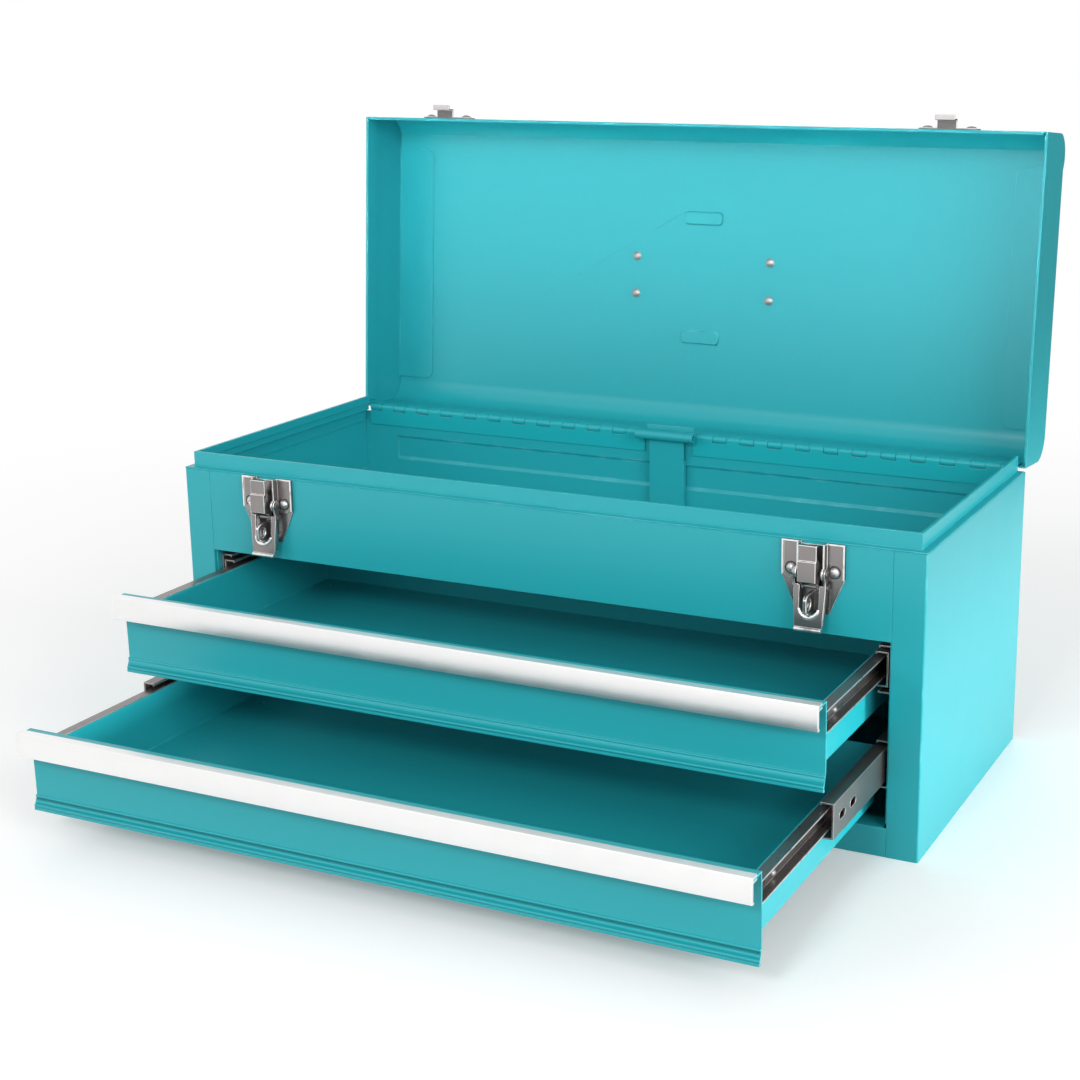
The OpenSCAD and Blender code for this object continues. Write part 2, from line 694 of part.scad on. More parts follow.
module inner_section() {
    tip = 7;
    translate([0, -inner_half]) square([member_web, 2 * inner_half]);
    both_ways() translate([member_web - eps, inner_half - slide_steel]) square([tip - member_web, slide_steel]);
}

mid_web = slide_t - 3.2;
mid_tip = 2.6;

module middle_section() {
    translate([mid_web, -mid_half]) square([member_web, 2 * mid_half]);
    both_ways() {
        translate([mid_tip, mid_half - slide_steel]) square([mid_web - mid_tip + eps, slide_steel]);
        translate([mid_tip, mid_half - slide_steel - 0.8]) square([0.8, 0.8 + eps]);
    }
}

outer_tip = 4.6;

module outer_section() {
    translate([slide_t - member_web, -outer_half]) square([member_web, 2 * outer_half]);
    both_ways() {
        translate([outer_tip, outer_half - slide_steel]) square([slide_t - member_web - outer_tip + eps, slide_steel]);
        translate([outer_tip, outer_half - slide_steel - 0.8]) square([0.8, 0.8 + eps]);
    }
}

module inner_members(open, z) {
    color(zinc) difference() {
        slide_solid(open, z) inner_section();
        at_drawer(open, z + slide_lift) for (y = drawer_rivet_y) rod_x(-half_w, half_w, y, 0, 1.65);
    }
}

// Long windows are punched through the middle member near both ends
module middle_members(open, z) {
    color(zinc) difference() {
        slide_solid(mid_shift(open), z) middle_section();
        at_drawer(mid_shift(open), z + slide_lift) for (run = [14, 32, slide_len - 32, slide_len - 14]) pair_x()
            translate([tray_half + mid_web - 1, slide_back + run, 0]) rotate([90, 0, 90]) linear_extrude(4) stadium(10, 5);
    }
}

module outer_members(z) {
    color(zinc) difference() {
        slide_solid(0, z) outer_section();
        at_drawer(0, z + slide_lift) for (y = slide_rivet_y) rod_x(-half_w, half_w, y, 0, 1.65);
    }
}

// A cage strip with its balls, carried forward by shift
module ball_cages(shift, z, s, v) {
    run = ball_pitch * (ball_count - 1);
    color(zinc) at_drawer(shift, z + slide_lift) pair_x() for (side = [-1, 1])
        translate([tray_half + s, slide_back + slide_len / 2, side * v]) {
            difference() {
                block(-1.9, 1.9, -run / 2 - cage_end, run / 2 + cage_end, -cage_t / 2, cage_t / 2);
                for (k = [0:ball_count - 1]) translate([0, -run / 2 + k * ball_pitch, -1])
                    cylinder(h = 2, r = ball_r + 0.1, $fn = 24);
            }
            for (k = [0:ball_count - 1]) translate([0, -run / 2 + k * ball_pitch, 0]) sphere(r = ball_r, $fn = 24);
        }
}

inner_row = inner_half + race_gap / 2;
outer_row = mid_half + race_gap / 2;
inner_row_s = 5;
outer_row_s = 7.4;

// A cage runs half as far as the two members that it rolls between
function outer_cage_shift(open) = mid_shift(open) / 2;
function inner_cage_shift(open) = (open + mid_shift(open)) / 2;

module upper_slide_inner_members() { inner_members(upper_open, upper_z); }
module lower_slide_inner_members() { inner_members(lower_open, lower_z); }
module upper_slide_middle_members() { middle_members(upper_open, upper_z); }
module lower_slide_middle_members() { middle_members(lower_open, lower_z); }
module upper_slide_outer_members() { outer_members(upper_z); }
module lower_slide_outer_members() { outer_members(lower_z); }
module upper_outer_ball_cages() { ball_cages(outer_cage_shift(upper_open), upper_z, outer_row_s, outer_row); }
module upper_inner_ball_cages() { ball_cages(inner_cage_shift(upper_open), upper_z, inner_row_s, inner_row); }
module lower_outer_ball_cages() { ball_cages(outer_cage_shift(lower_open), lower_z, outer_row_s, outer_row); }
module lower_inner_ball_cages() { ball_cages(inner_cage_shift(lower_open), lower_z, inner_row_s, inner_row); }

// Rivets join each drawer member to the tray, heads inside the tray
module drawer_rivets(open, z) {
    color(zinc) at_drawer(open, z + slide_lift) pair_x() for (y = drawer_rivet_y) {
        rod_x(tray_half - sheet_t - eps, tray_half + member_web + eps, y, 0, 1.6, 24);
        rod_x(tray_half - sheet_t - 0.7, tray_half - sheet_t, y, 0, 2.4, 24);
        rod_x(tray_half + member_web, tray_half + member_web + 0.8, y, 0, 2.8, 24);
    }
}

module upper_drawer_rivets() { drawer_rivets(upper_open, upper_z); }
module lower_drawer_rivets() { drawer_rivets(lower_open, lower_z); }

// Rivets join the outer members to the brackets, with low heads inside the channel
module slide_rivets() {
    web_in = slide_seat - member_web;
    color(zinc) for (z = [upper_z, lower_z]) pair_x() for (y = slide_rivet_y) {
        rod_x(web_in - eps, opening_half + eps, y, z + slide_lift, 1.6, 24);
        rod_x(web_in - 0.4, web_in, y, z + slide_lift, 2.8, 24);
        rod_x(opening_half, opening_half + 0.8, y, z + slide_lift, 3, 24);
    }
}

// ---- latches -------------------------------------------------------------
// Latch sections are drawn in (n, z), n forward of the panel, and drawn out along X
module latch_bar(x0, x1) {
    translate([x0, front_y, 0]) mirror([0, 1, 0]) rotate([90, 0, 90]) linear_extrude(x1 - x0) children();
}

module latch_pair(x0, x1) {
    latch_bar(x0, x1) children();
    latch_bar(-x1, -x0) children();
}

base_rivet_z = body_h - 17.5;
tail_len = 26.5;
pad_t = 0.8;
pad_in = strike_hook_half + 0.5;
pad_r = (wing_w / 2 - pad_in) / 2;
base_rivet_x = pad_in + pad_r;

// A riveted plate with a tapered tail, two raised wings with round lower ends, and two ears for the lever
module latch_base(side) {
    top = body_h - 0.5;
    notch = 1.6;
    wing_z = body_h - 22;
    tail_half = 10;
    tail_z = base_rivet_z - tail_len;
    half = wing_w / 2;
    lip = 2.6;
    ear_top_n = pivot_out + 0.6;
    color(zinc) translate([side * latch_x, 0, 0]) {
        difference() {
            union() {
                translate([0, front_y, 0]) rotate([90, 0, 0]) linear_extrude(latch_t) polygon([
                    [-half, top], [-half, wing_z], [-tail_half, tail_z], [tail_half, tail_z], [half, wing_z],
                    [half, top], [pad_in, top], [pad_in, top - notch], [-pad_in, top - notch], [-pad_in, top]]);
                pair_x() translate([pad_in + pad_r, front_y - latch_t + eps, 0]) rotate([90, 0, 0]) linear_extrude(pad_t + eps) {
                    translate([0, base_rivet_z]) circle(r = pad_r, $fn = 48);
                    translate([-pad_r, base_rivet_z]) square([2 * pad_r, top - base_rivet_z]);
                }
            }
            for (s = [-1, 1]) translate([s * base_rivet_x, front_y + 1, base_rivet_z]) rotate([90, 0, 0])
                cylinder(h = 4, r = 2.05, $fn = 32);
        }
        pair_x() {
            block(half - latch_t, half, front_y - lip, front_y - latch_t + eps, wing_z, top);
            block(pad_in, half, front_y - lip, front_y - latch_t + eps, top - latch_t, top);
        }
        difference() {
            latch_pair(ear_in, ear_in + latch_t) {
                translate([latch_t - eps, pivot_z - ear_r]) square([pivot_out - latch_t, 2 * ear_r]);
                translate([pivot_out, pivot_z]) circle(r = ear_r, $fn = 48);
                translate([latch_t - eps, pivot_z]) square([ear_top_n - latch_t, top - pivot_z]);
            }
            rod_x(-lever_w, lever_w, front_y - pivot_out, pivot_z, pivot_r + pin_fit);
        }
    }
}

module latch_base_left() { latch_base(-1); }
module latch_base_right() { latch_base(1); }

module latch_rivets() {
    color(zinc) for (side = [-1, 1]) for (s = [-1, 1])
        translate([side * latch_x + s * base_rivet_x, 0, base_rivet_z]) {
            translate([0, front_y - latch_t - pad_t, 0]) rotate([90, 0, 0]) dome(3.3, 2);
            translate([0, front_y + sheet_t, 0]) rotate([-90, 0, 0]) cylinder(h = 0.8, r = 3.2, $fn = 32);
            translate([0, front_y + sheet_t + eps, 0]) rotate([90, 0, 0])
                cylinder(h = sheet_t + latch_t + pad_t + 2 * eps, r = 2, $fn = 32);
        }
}

// Two stub rivets carry each lever, one in each ear
module latch_pivots() {
    color(zinc) for (side = [-1, 1]) translate([side * latch_x, front_y - pivot_out, pivot_z]) pair_x() {
        rod_x(ear_in - 0.6, lever_out + 0.3, 0, 0, pivot_r);
        rod_x(ear_in - 0.6, ear_in, 0, 0, pivot_r + 0.8);
        rod_x(lever_out + 0.1, lever_out + 0.9, 0, 0, pivot_r + 0.9);
    }
}

staple_reach = 15.4;
staple_half = 6.2;
staple_t = 2.4;
eye_r = 3.2;

// The padlock staple stands on the base plate and passes through the slot of the lever
module padlock_staples() {
    eye_n = staple_reach - 1.8 - eye_r;
    color(zinc) for (side = [-1, 1]) translate([side * latch_x, 0, 0])
        latch_bar(-staple_t / 2, staple_t / 2) difference() {
            union() {
                translate([latch_t, staple_z - staple_half]) square([eye_n - latch_t, 2 * staple_half]);
                intersection() {
                    translate([eye_n, staple_z]) circle(r = staple_half, $fn = 48);
                    translate([eye_n, staple_z - staple_half]) square([staple_reach - eye_n, 2 * staple_half]);
                }
            }
            translate([eye_n, staple_z]) circle(r = eye_r, $fn = 48);
        }
}

// Turns a latch piece drawn closed about the lever pivot
module swing(side, angle) {
    translate([side * latch_x, front_y - pivot_out, pivot_z]) rotate([angle, 0, 0])
        translate([0, -front_y + pivot_out, -pivot_z]) children();
}

// A pressed lever: side edges hung on the ears, and a face with one long window for claw and staple
module latch_lever(side) {
    face_in = lever_face - latch_t;
    edge_n = 2.4;
    tip = pivot_z - lever_len;
    plate_top = pivot_z - ear_r - 3.5;
    taper_z = plate_top - 4;
    eye = 3.4;
    foot_half = 8.3;
    window_half = claw_half + 0.4;
    window_low = staple_z - staple_half - 2.4;
    color(zinc) swing(side, -lever_loose) difference() {
        union() {
            translate([0, front_y - face_in, 0]) rotate([90, 0, 0]) linear_extrude(latch_t)
                polygon([[-lever_out, plate_top], [-lever_out, taper_z], [-foot_half, tip], [foot_half, tip],
                    [lever_out, taper_z], [lever_out, plate_top]]);
            translate([0, front_y - edge_n, 0]) rotate([90, 0, 0]) linear_extrude(face_in - edge_n + eps) for (s = [-1, 1])
                polygon([[s * lever_out, taper_z], [s * (lever_out - latch_t), taper_z],
                    [s * (foot_half + 0.3 - latch_t), tip + 4], [s * (foot_half + 0.3), tip + 4]]);
            latch_bar(-foot_half, foot_half) {
                translate([lever_face + 0.6, tip + 1.2]) circle(r = 1.2, $fn = 32);
                translate([face_in, tip]) square([1.8, latch_t]);
            }
            latch_pair(lever_out - latch_t, lever_out) {
                polygon([[edge_n, taper_z - eps], [edge_n, pivot_z - 7], [pivot_out - eye, pivot_z],
                    [pivot_out + eye, pivot_z], [lever_face, plate_top], [lever_face, taper_z - eps]]);
                translate([pivot_out, pivot_z]) circle(r = eye, $fn = 48);
                translate([claw_pin_n, pivot_z - claw_pin_drop]) circle(r = 2.2, $fn = 48);
            }
        }
        rod_x(-lever_w, lever_w, front_y - pivot_out, pivot_z, pivot_r + pin_fit);
        rod_x(-lever_w, lever_w, front_y - claw_pin_n, pivot_z - claw_pin_drop, pivot_r + pin_fit);
        translate([0, front_y - face_in + 1, window_low + window_half]) rotate([90, 0, 0]) linear_extrude(4) {
            circle(r = window_half, $fn = 48);
            translate([-window_half, 0]) square([2 * window_half, plate_top]);
        }
    }
}

module latch_lever_left() { latch_lever(-1); }
module latch_lever_right() { latch_lever(1); }

module claw_pin(side) {
    color(zinc) swing(side, -lever_loose) {
        rod_x(-lever_out - 0.3, lever_out + 0.3, front_y - claw_pin_n, pivot_z - claw_pin_drop, pivot_r);
        for (s = [-1, 1]) rod_x(s * (lever_out + 0.5) - 0.4, s * (lever_out + 0.5) + 0.4,
            front_y - claw_pin_n, pivot_z - claw_pin_drop, pivot_r + 0.7);
    }
}

module claw_pin_left() { claw_pin(-1); }
module claw_pin_right() { claw_pin(1); }

// The claw: a folded channel whose top lip reaches over the hook of the catch plate.
// It turns back on its pin as the lever turns out, so it stays nearly upright.
module latch_claw(side) {
    pin_z = pivot_z - claw_pin_drop;
    top = body_h - 0.2;
    plate_n = 10.1;
    lip_n = 8.3;
    t = latch_t;
    step_z = body_h - 9.5;
    low_z = pin_z + 4.5;
    step_out = 1.4;
    color(zinc) swing(side, -lever_loose)
        translate([0, front_y - claw_pin_n, pin_z]) rotate([claw_lag * lever_loose, 0, 0])
        translate([0, -front_y + claw_pin_n, -pin_z]) difference() {
            union() {
                latch_pair(claw_half - t, claw_half) {
                    translate([claw_pin_n, pin_z]) circle(r = 2.2, $fn = 48);
                    polygon([[claw_pin_n - 2, pin_z], [claw_pin_n - 2, body_h - 15], [plate_n, body_h - 7], [plate_n, top],
                        [plate_n + t, top], [plate_n + t, step_z], [plate_n + t + step_out, step_z - step_out],
                        [plate_n + t + step_out, low_z], [plate_n, low_z - 1], [claw_pin_n + 2, pin_z]]);
                }
                latch_bar(-claw_half, claw_half) {
                    translate([plate_n, step_z - eps]) square([t, top - step_z]);
                    translate([lip_n, top - t]) square([plate_n + t - lip_n, t]);
                    translate([plate_n, step_z - t]) square([t + step_out, t]);
                    translate([plate_n + step_out, low_z]) square([t, step_z - low_z - eps]);
                }
            }
            rod_x(-lever_w, lever_w, front_y - claw_pin_n, pin_z, pivot_r + pin_fit);
        }
}

module latch_claw_left() { latch_claw(-1); }
module latch_claw_right() { latch_claw(1); }

// ---- drawer lock bar -----------------------------------------------------
// A channel behind the drawers, raised while the lid is open; the lid presses its head down
bar_back = back_y - sheet_t - 0.3;
bar_front = bar_back - bar_depth;
bar_t = 1.2;
bar_top = hinge_z - 0.6 + bar_stroke;
bar_low = lower_z + bar_w / 2;
guide_gap = 0.4;

module drawer_lock_bar() {
    head_front = bar_front - 6;
    head_back = hinge_y - 3.5;
    curl_r = 3.2;
    hook_tip = front_y + sheet_t + tray_depth - sheet_t - 1.6;
    channel_top = hinge_z - edge_clear - leaf_h - 4;
    color(paint) {
        block(-bar_w / 2, bar_w / 2, bar_front, bar_front + bar_t, bar_low, bar_top);
        pair_x() block(bar_w / 2 - bar_t, bar_w / 2, bar_front, bar_back, bar_low, channel_top);
        block(-bar_head_w / 2, bar_head_w / 2, head_front + curl_r, head_back, bar_top - bar_t, bar_top);
        difference() {
            rod_x(-bar_head_w / 2, bar_head_w / 2, head_front + curl_r, bar_top - curl_r, curl_r, 48);
            rod_x(-bar_head_w / 2 - 1, bar_head_w / 2 + 1, head_front + curl_r, bar_top - curl_r, curl_r - bar_t, 48);
        }
        for (z = [upper_z, lower_z]) {
            wall_top = z + tray_lift + tray_h;
            arm_z = wall_top + bar_stroke + 1;
            block(-8, 8, hook_tip, bar_front + eps, arm_z, arm_z + bar_t);
            block(-8, 8, hook_tip, hook_tip + bar_t, wall_top + 1, arm_z + eps);
        }
    }
}

// Two bridges on the back panel keep the bar against it
module lock_bar_guides() {
    guide_h = 14;
    leg_in = bar_w / 2 + guide_gap;
    color(paint) for (z = [lower_z + 20, upper_z + 18]) {
        block(-leg_in - bar_t, leg_in + bar_t, bar_front - guide_gap - bar_t, bar_front - guide_gap, z, z + guide_h);
        pair_x() {
            block(leg_in, leg_in + bar_t, bar_front - guide_gap - eps, back_y - sheet_t, z, z + guide_h);
            block(leg_in + bar_t - eps, leg_in + 10, back_y - sheet_t - bar_t, back_y - sheet_t, z, z + guide_h);
        }
    }
}

side_panel_left();
side_panel_right();
back_panel();
bottom_pan();
upper_front_panel();
bottom_rail();
tray_rim();
tray_floor();
slide_bracket_left();
slide_bracket_right();
hinge_body_leaf();
hinge_pins();
upper_slide_outer_members();
lower_slide_outer_members();
slide_rivets();
latch_base_left();
latch_base_right();
latch_rivets();
latch_pivots();
padlock_staples();
lock_bar_guides();
lid_shell();
lid_end_left();
lid_end_right();
hinge_lid_leaf();
strike_left();
strike_right();
strike_rivets();
handle_clips();
handle_rivets();
handle_bail();
handle_grip();
upper_drawer_tray();
upper_drawer_front();
upper_drawer_pull();
upper_slide_inner_members();
upper_drawer_rivets();
lower_drawer_tray();
lower_drawer_front();
lower_drawer_pull();
lower_slide_inner_members();
lower_drawer_rivets();
upper_slide_middle_members();
lower_slide_middle_members();
upper_outer_ball_cages();
upper_inner_ball_cages();
lower_outer_ball_cages();
lower_inner_ball_cages();
latch_lever_left();
latch_lever_right();
claw_pin_left();
claw_pin_right();
latch_claw_left();
latch_claw_right();
drawer_lock_bar();
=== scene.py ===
import math
import bmesh
import bpy
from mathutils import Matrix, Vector


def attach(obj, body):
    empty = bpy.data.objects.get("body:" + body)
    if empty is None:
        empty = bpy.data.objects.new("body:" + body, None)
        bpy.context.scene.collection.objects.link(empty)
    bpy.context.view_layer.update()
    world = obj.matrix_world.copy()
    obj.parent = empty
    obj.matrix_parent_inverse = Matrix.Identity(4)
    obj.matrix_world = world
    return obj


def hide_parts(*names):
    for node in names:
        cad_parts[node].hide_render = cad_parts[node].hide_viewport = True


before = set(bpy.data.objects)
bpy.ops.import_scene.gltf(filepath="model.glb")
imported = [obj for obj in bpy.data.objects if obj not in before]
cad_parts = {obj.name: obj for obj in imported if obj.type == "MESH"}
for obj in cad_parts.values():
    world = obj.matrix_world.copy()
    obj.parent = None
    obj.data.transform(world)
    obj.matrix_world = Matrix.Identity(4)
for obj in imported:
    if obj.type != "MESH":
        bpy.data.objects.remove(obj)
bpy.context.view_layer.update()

scene = bpy.context.scene


# ---------------------------------------------------------------- camera
# A long lens a little above the box, round to its front right corner.
# The floor is level, so every upright stays nearly upright in the frame.
camera_data = bpy.data.cameras.new("camera")
camera_data.lens = 63.387
camera_data.sensor_width = 36
camera_data.sensor_fit = "HORIZONTAL"
camera_data.shift_x = -0.0986
camera_data.shift_y = -0.0291
camera_data.clip_start = 0.05
camera_data.clip_end = 60
camera_data.dof.use_dof = False
camera = bpy.data.objects.new("camera", camera_data)
camera.location = (0.554735, -1.110434, 0.485798)
camera.rotation_euler = (math.radians(75.376), math.radians(0.243), math.radians(25.105))
scene.collection.objects.link(camera)
scene.camera = camera


# ---------------------------------------------------------------- studio
# A pale table that fades into a white surround, with lamps to the right, in front, at the left front and
# behind. The surround is white to the eye and in reflections, and lights the box at half of that. A dark
# card at the rear right shows only in reflections.
def linked(tree, source, target):
    tree.links.new(source, target)
    return target


def node_of(tree, kind, x=0, y=0, **settings):
    made = tree.nodes.new(kind)
    made.location = (x, y)
    for name, value in settings.items():
        setattr(made, name, value)
    return made


scene.view_settings.view_transform = "Standard"

surround = bpy.data.worlds.new("surround")
surround.use_nodes = True
scene.world = surround
tree = surround.node_tree
tree.nodes.clear()
path = node_of(tree, "ShaderNodeLightPath", -900, 0)
seen = node_of(tree, "ShaderNodeMath", -700, 0, operation="MAXIMUM")
seen_too = node_of(tree, "ShaderNodeMath", -500, 0, operation="MAXIMUM")
linked(tree, path.outputs["Is Camera Ray"], seen.inputs[0])
linked(tree, path.outputs["Is Glossy Ray"], seen.inputs[1])
linked(tree, seen.outputs[0], seen_too.inputs[0])
linked(tree, path.outputs["Is Transmission Ray"], seen_too.inputs[1])
soft = node_of(tree, "ShaderNodeBackground", -250, -120)
soft.inputs["Color"].default_value = (1.0, 0.995, 0.985, 1)
soft.inputs["Strength"].default_value = 0.5
white = node_of(tree, "ShaderNodeBackground", -250, -260)
white.inputs["Color"].default_value = (1, 1, 1, 1)
white.inputs["Strength"].default_value = 1.0
both = node_of(tree, "ShaderNodeMixShader", 0, 0)
linked(tree, seen_too.outputs[0], both.inputs[0])
linked(tree, soft.outputs[0], both.inputs[1])
linked(tree, white.outputs[0], both.inputs[2])
linked(tree, both.outputs[0], node_of(tree, "ShaderNodeOutputWorld", 200, 0).inputs["Surface"])

floor_mesh = bpy.data.meshes.new("floor")
floor_mesh.from_pydata([(-9, -9, 0), (9, -9, 0), (9, 9, 0), (-9, 9, 0)], [], [(0, 1, 2, 3)])
floor = bpy.data.objects.new("floor", floor_mesh)
scene.collection.objects.link(floor)
table_white = bpy.data.materials.new("table_white")
table_white.use_nodes = True
tree = table_white.node_tree
tree.nodes.clear()
place = node_of(tree, "ShaderNodeTexCoord", -1000, 0)
reach = node_of(tree, "ShaderNodeVectorMath", -800, 0, operation="LENGTH")
linked(tree, place.outputs["Object"], reach.inputs[0])
fade = node_of(tree, "ShaderNodeMapRange", -600, 0, interpolation_type="SMOOTHSTEP")
fade.inputs["From Min"].default_value = 0.4
fade.inputs["From Max"].default_value = 1.2
linked(tree, reach.outputs["Value"], fade.inputs["Value"])
path = node_of(tree, "ShaderNodeLightPath", -1000, -300)
shown = node_of(tree, "ShaderNodeMath", -800, -300, operation="MAXIMUM")
linked(tree, path.outputs["Is Camera Ray"], shown.inputs[0])
linked(tree, path.outputs["Is Glossy Ray"], shown.inputs[1])
white_or_not = node_of(tree, "ShaderNodeMix", -600, -300, data_type="RGBA")
white_or_not.inputs["A"].default_value = (0.5, 0.5, 0.5, 1)
white_or_not.inputs["B"].default_value = (0.95, 0.95, 0.95, 1)
linked(tree, shown.outputs[0], white_or_not.inputs["Factor"])
paper = node_of(tree, "ShaderNodeBsdfDiffuse", -550, -100)
linked(tree, white_or_not.outputs["Result"], paper.inputs["Color"])
lift = node_of(tree, "ShaderNodeEmission", -550, -420)
lift_by = node_of(tree, "ShaderNodeMath", -750, -480, operation="MULTIPLY")
lift_by.inputs[1].default_value = 0.17
linked(tree, shown.outputs[0], lift_by.inputs[0])
linked(tree, lift_by.outputs[0], lift.inputs["Strength"])
lifted = node_of(tree, "ShaderNodeAddShader", -330, -100)
linked(tree, paper.outputs[0], lifted.inputs[0])
linked(tree, lift.outputs[0], lifted.inputs[1])
glow = node_of(tree, "ShaderNodeEmission", -350, -240)
glow.inputs["Color"].default_value = (1, 1, 1, 1)
glow.inputs["Strength"].default_value = 1.0
both = node_of(tree, "ShaderNodeMixShader", -100, 0)
linked(tree, fade.outputs["Result"], both.inputs[0])
linked(tree, lifted.outputs[0], both.inputs[1])
linked(tree, glow.outputs[0], both.inputs[2])
linked(tree, both.outputs[0], node_of(tree, "ShaderNodeOutputMaterial", 120, 0).inputs["Surface"])
floor_mesh.materials.append(table_white)


def lamp(name, at, towards, size, power, tint=(1, 1, 1)):
    data = bpy.data.lights.new(name, "AREA")
    data.shape = "RECTANGLE"
    data.size, data.size_y = size
    data.energy = power
    data.color = tint
    made = bpy.data.objects.new(name, data)
    made.location = at
    made.rotation_euler = (Vector(towards) - Vector(at)).to_track_quat("-Z", "Y").to_euler()
    scene.collection.objects.link(made)
    return made


low = lamp("lamp_right_low", (2.0, 0.15, 0.06), (0.0, 0.0, 0.06), (1.2, 0.16), 1.3)
low.data.spread = math.radians(14)
lamp("lamp_right", (2.1, -1.3, 1.1), (0.0, 0.0, 0.25), (1.4, 1.2), 28)
lamp("lamp_front", (0.15, -2.1, 1.35), (0.0, -0.1, 0.15), (0.45, 0.35), 12.5)
left = lamp("lamp_left_front", (-1.6, -2.2, 0.9), (0.0, 0.0, 0.15), (1.4, 1.2), 14.5)
lid_low = lamp("lamp_front_low", (0.2, -1.9, 0.2), (0.05, 0.12, 0.38), (0.9, 0.12), 0.29)
lid_low.data.spread = math.radians(10)
lamp("lamp_back", (-0.7, 2.6, 1.3), (0.0, 0.1, 0.15), (1.4, 1.0), 20)
for made in (low, left, lid_low):
    made.visible_glossy = False

card_mesh = bpy.data.meshes.new("card")
card_corners = [(0.31, 0.75, 0.02), (1.3, 0.75, 0.02), (1.3, 0.95, 0.9), (0.31, 0.95, 0.9)]
card_mesh.from_pydata(card_corners, [], [(0, 1, 2, 3)])
card = bpy.data.objects.new("card", card_mesh)
scene.collection.objects.link(card)
card.visible_camera = False
card_grey = bpy.data.materials.new("card_grey")
card_grey.use_nodes = True
card_grey.node_tree.nodes["Principled BSDF"].inputs["Base Color"].default_value = (0.04, 0.04, 0.04, 1)
card_grey.node_tree.nodes["Principled BSDF"].inputs["Roughness"].default_value = 0.9
card_mesh.materials.append(card_grey)


# ---------------------------------------------------------------- side panels
# Two sheet-steel sides, each folded round into a front stile with a return behind it, in teal enamel.
# The folds keep a small round, drawn lighter as thin enamel and a painted highlight, and the enamel shows a
# fine orange peel.
def new_group(name, inputs, outputs):
    group = bpy.data.node_groups.new(name, "ShaderNodeTree")
    for label, kind, value in inputs:
        socket = group.interface.new_socket(name=label, in_out="INPUT", socket_type=kind)
        socket.default_value = value
    for label, kind in outputs:
        group.interface.new_socket(name=label, in_out="OUTPUT", socket_type=kind)
    start = group.nodes.new("NodeGroupInput")
    start.location = (-1200, 0)
    end = group.nodes.new("NodeGroupOutput")
    end.location = (600, 0)
    return group, start, end


# drifting tone of a sprayed coat, its gloss, and its skin of orange peel over slightly wavy sheet
sprayed_coat, start, end = new_group(
    "sprayed_coat",
    [("Color", "NodeSocketColor", (0.01, 0.4, 0.45, 1)), ("Tone", "NodeSocketFloat", 0.05),
     ("Gloss", "NodeSocketFloat", 0.34), ("Smudge", "NodeSocketFloat", 0.08),
     ("Peel", "NodeSocketFloat", 650.0), ("Wave", "NodeSocketFloat", 9.0)],
    [("Color", "NodeSocketColor"), ("Roughness", "NodeSocketFloat"), ("Height", "NodeSocketFloat")])
tree = sprayed_coat
where = node_of(tree, "ShaderNodeTexCoord", -1200, -300)
drift = node_of(tree, "ShaderNodeTexNoise", -900, 200)
drift.inputs["Scale"].default_value = 5.0
drift.inputs["Detail"].default_value = 3.0
linked(tree, where.outputs["Object"], drift.inputs["Vector"])
tone = node_of(tree, "ShaderNodeMath", -700, 200, operation="SUBTRACT")
tone.inputs[1].default_value = 0.5
linked(tree, drift.outputs["Fac"], tone.inputs[0])
tone_by = node_of(tree, "ShaderNodeMath", -520, 200, operation="MULTIPLY_ADD")
tone_by.inputs[2].default_value = 1.0
linked(tree, tone.outputs[0], tone_by.inputs[0])
linked(tree, start.outputs["Tone"], tone_by.inputs[1])
shade = node_of(tree, "ShaderNodeVectorMath", -300, 200, operation="SCALE")
linked(tree, start.outputs["Color"], shade.inputs[0])
linked(tree, tone_by.outputs[0], shade.inputs["Scale"])
linked(tree, shade.outputs[0], end.inputs["Color"])
touch = node_of(tree, "ShaderNodeTexNoise", -900, -60)
touch.inputs["Scale"].default_value = 26.0
touch.inputs["Detail"].default_value = 5.0
touch.inputs["Roughness"].default_value = 0.62
linked(tree, where.outputs["Object"], touch.inputs["Vector"])
touch_mid = node_of(tree, "ShaderNodeMath", -700, -60, operation="SUBTRACT")
touch_mid.inputs[1].default_value = 0.5
linked(tree, touch.outputs["Fac"], touch_mid.inputs[0])
rough = node_of(tree, "ShaderNodeMath", -500, -60, operation="MULTIPLY_ADD")
linked(tree, touch_mid.outputs[0], rough.inputs[0])
linked(tree, start.outputs["Smudge"], rough.inputs[1])
linked(tree, start.outputs["Gloss"], rough.inputs[2])
linked(tree, rough.outputs[0], end.inputs["Roughness"])
peel = node_of(tree, "ShaderNodeTexNoise", -900, -320)
peel.inputs["Detail"].default_value = 1.5
linked(tree, where.outputs["Object"], peel.inputs["Vector"])
linked(tree, start.outputs["Peel"], peel.inputs["Scale"])
wave = node_of(tree, "ShaderNodeTexNoise", -900, -560)
wave.inputs["Detail"].default_value = 0.0
linked(tree, where.outputs["Object"], wave.inputs["Vector"])
linked(tree, start.outputs["Wave"], wave.inputs["Scale"])
height = node_of(tree, "ShaderNodeMath", -600, -400, operation="MULTIPLY_ADD")
height.inputs[1].default_value = 9.0
linked(tree, wave.outputs["Fac"], height.inputs[0])
linked(tree, peel.outputs["Fac"], height.inputs[2])
linked(tree, height.outputs[0], end.inputs["Height"])
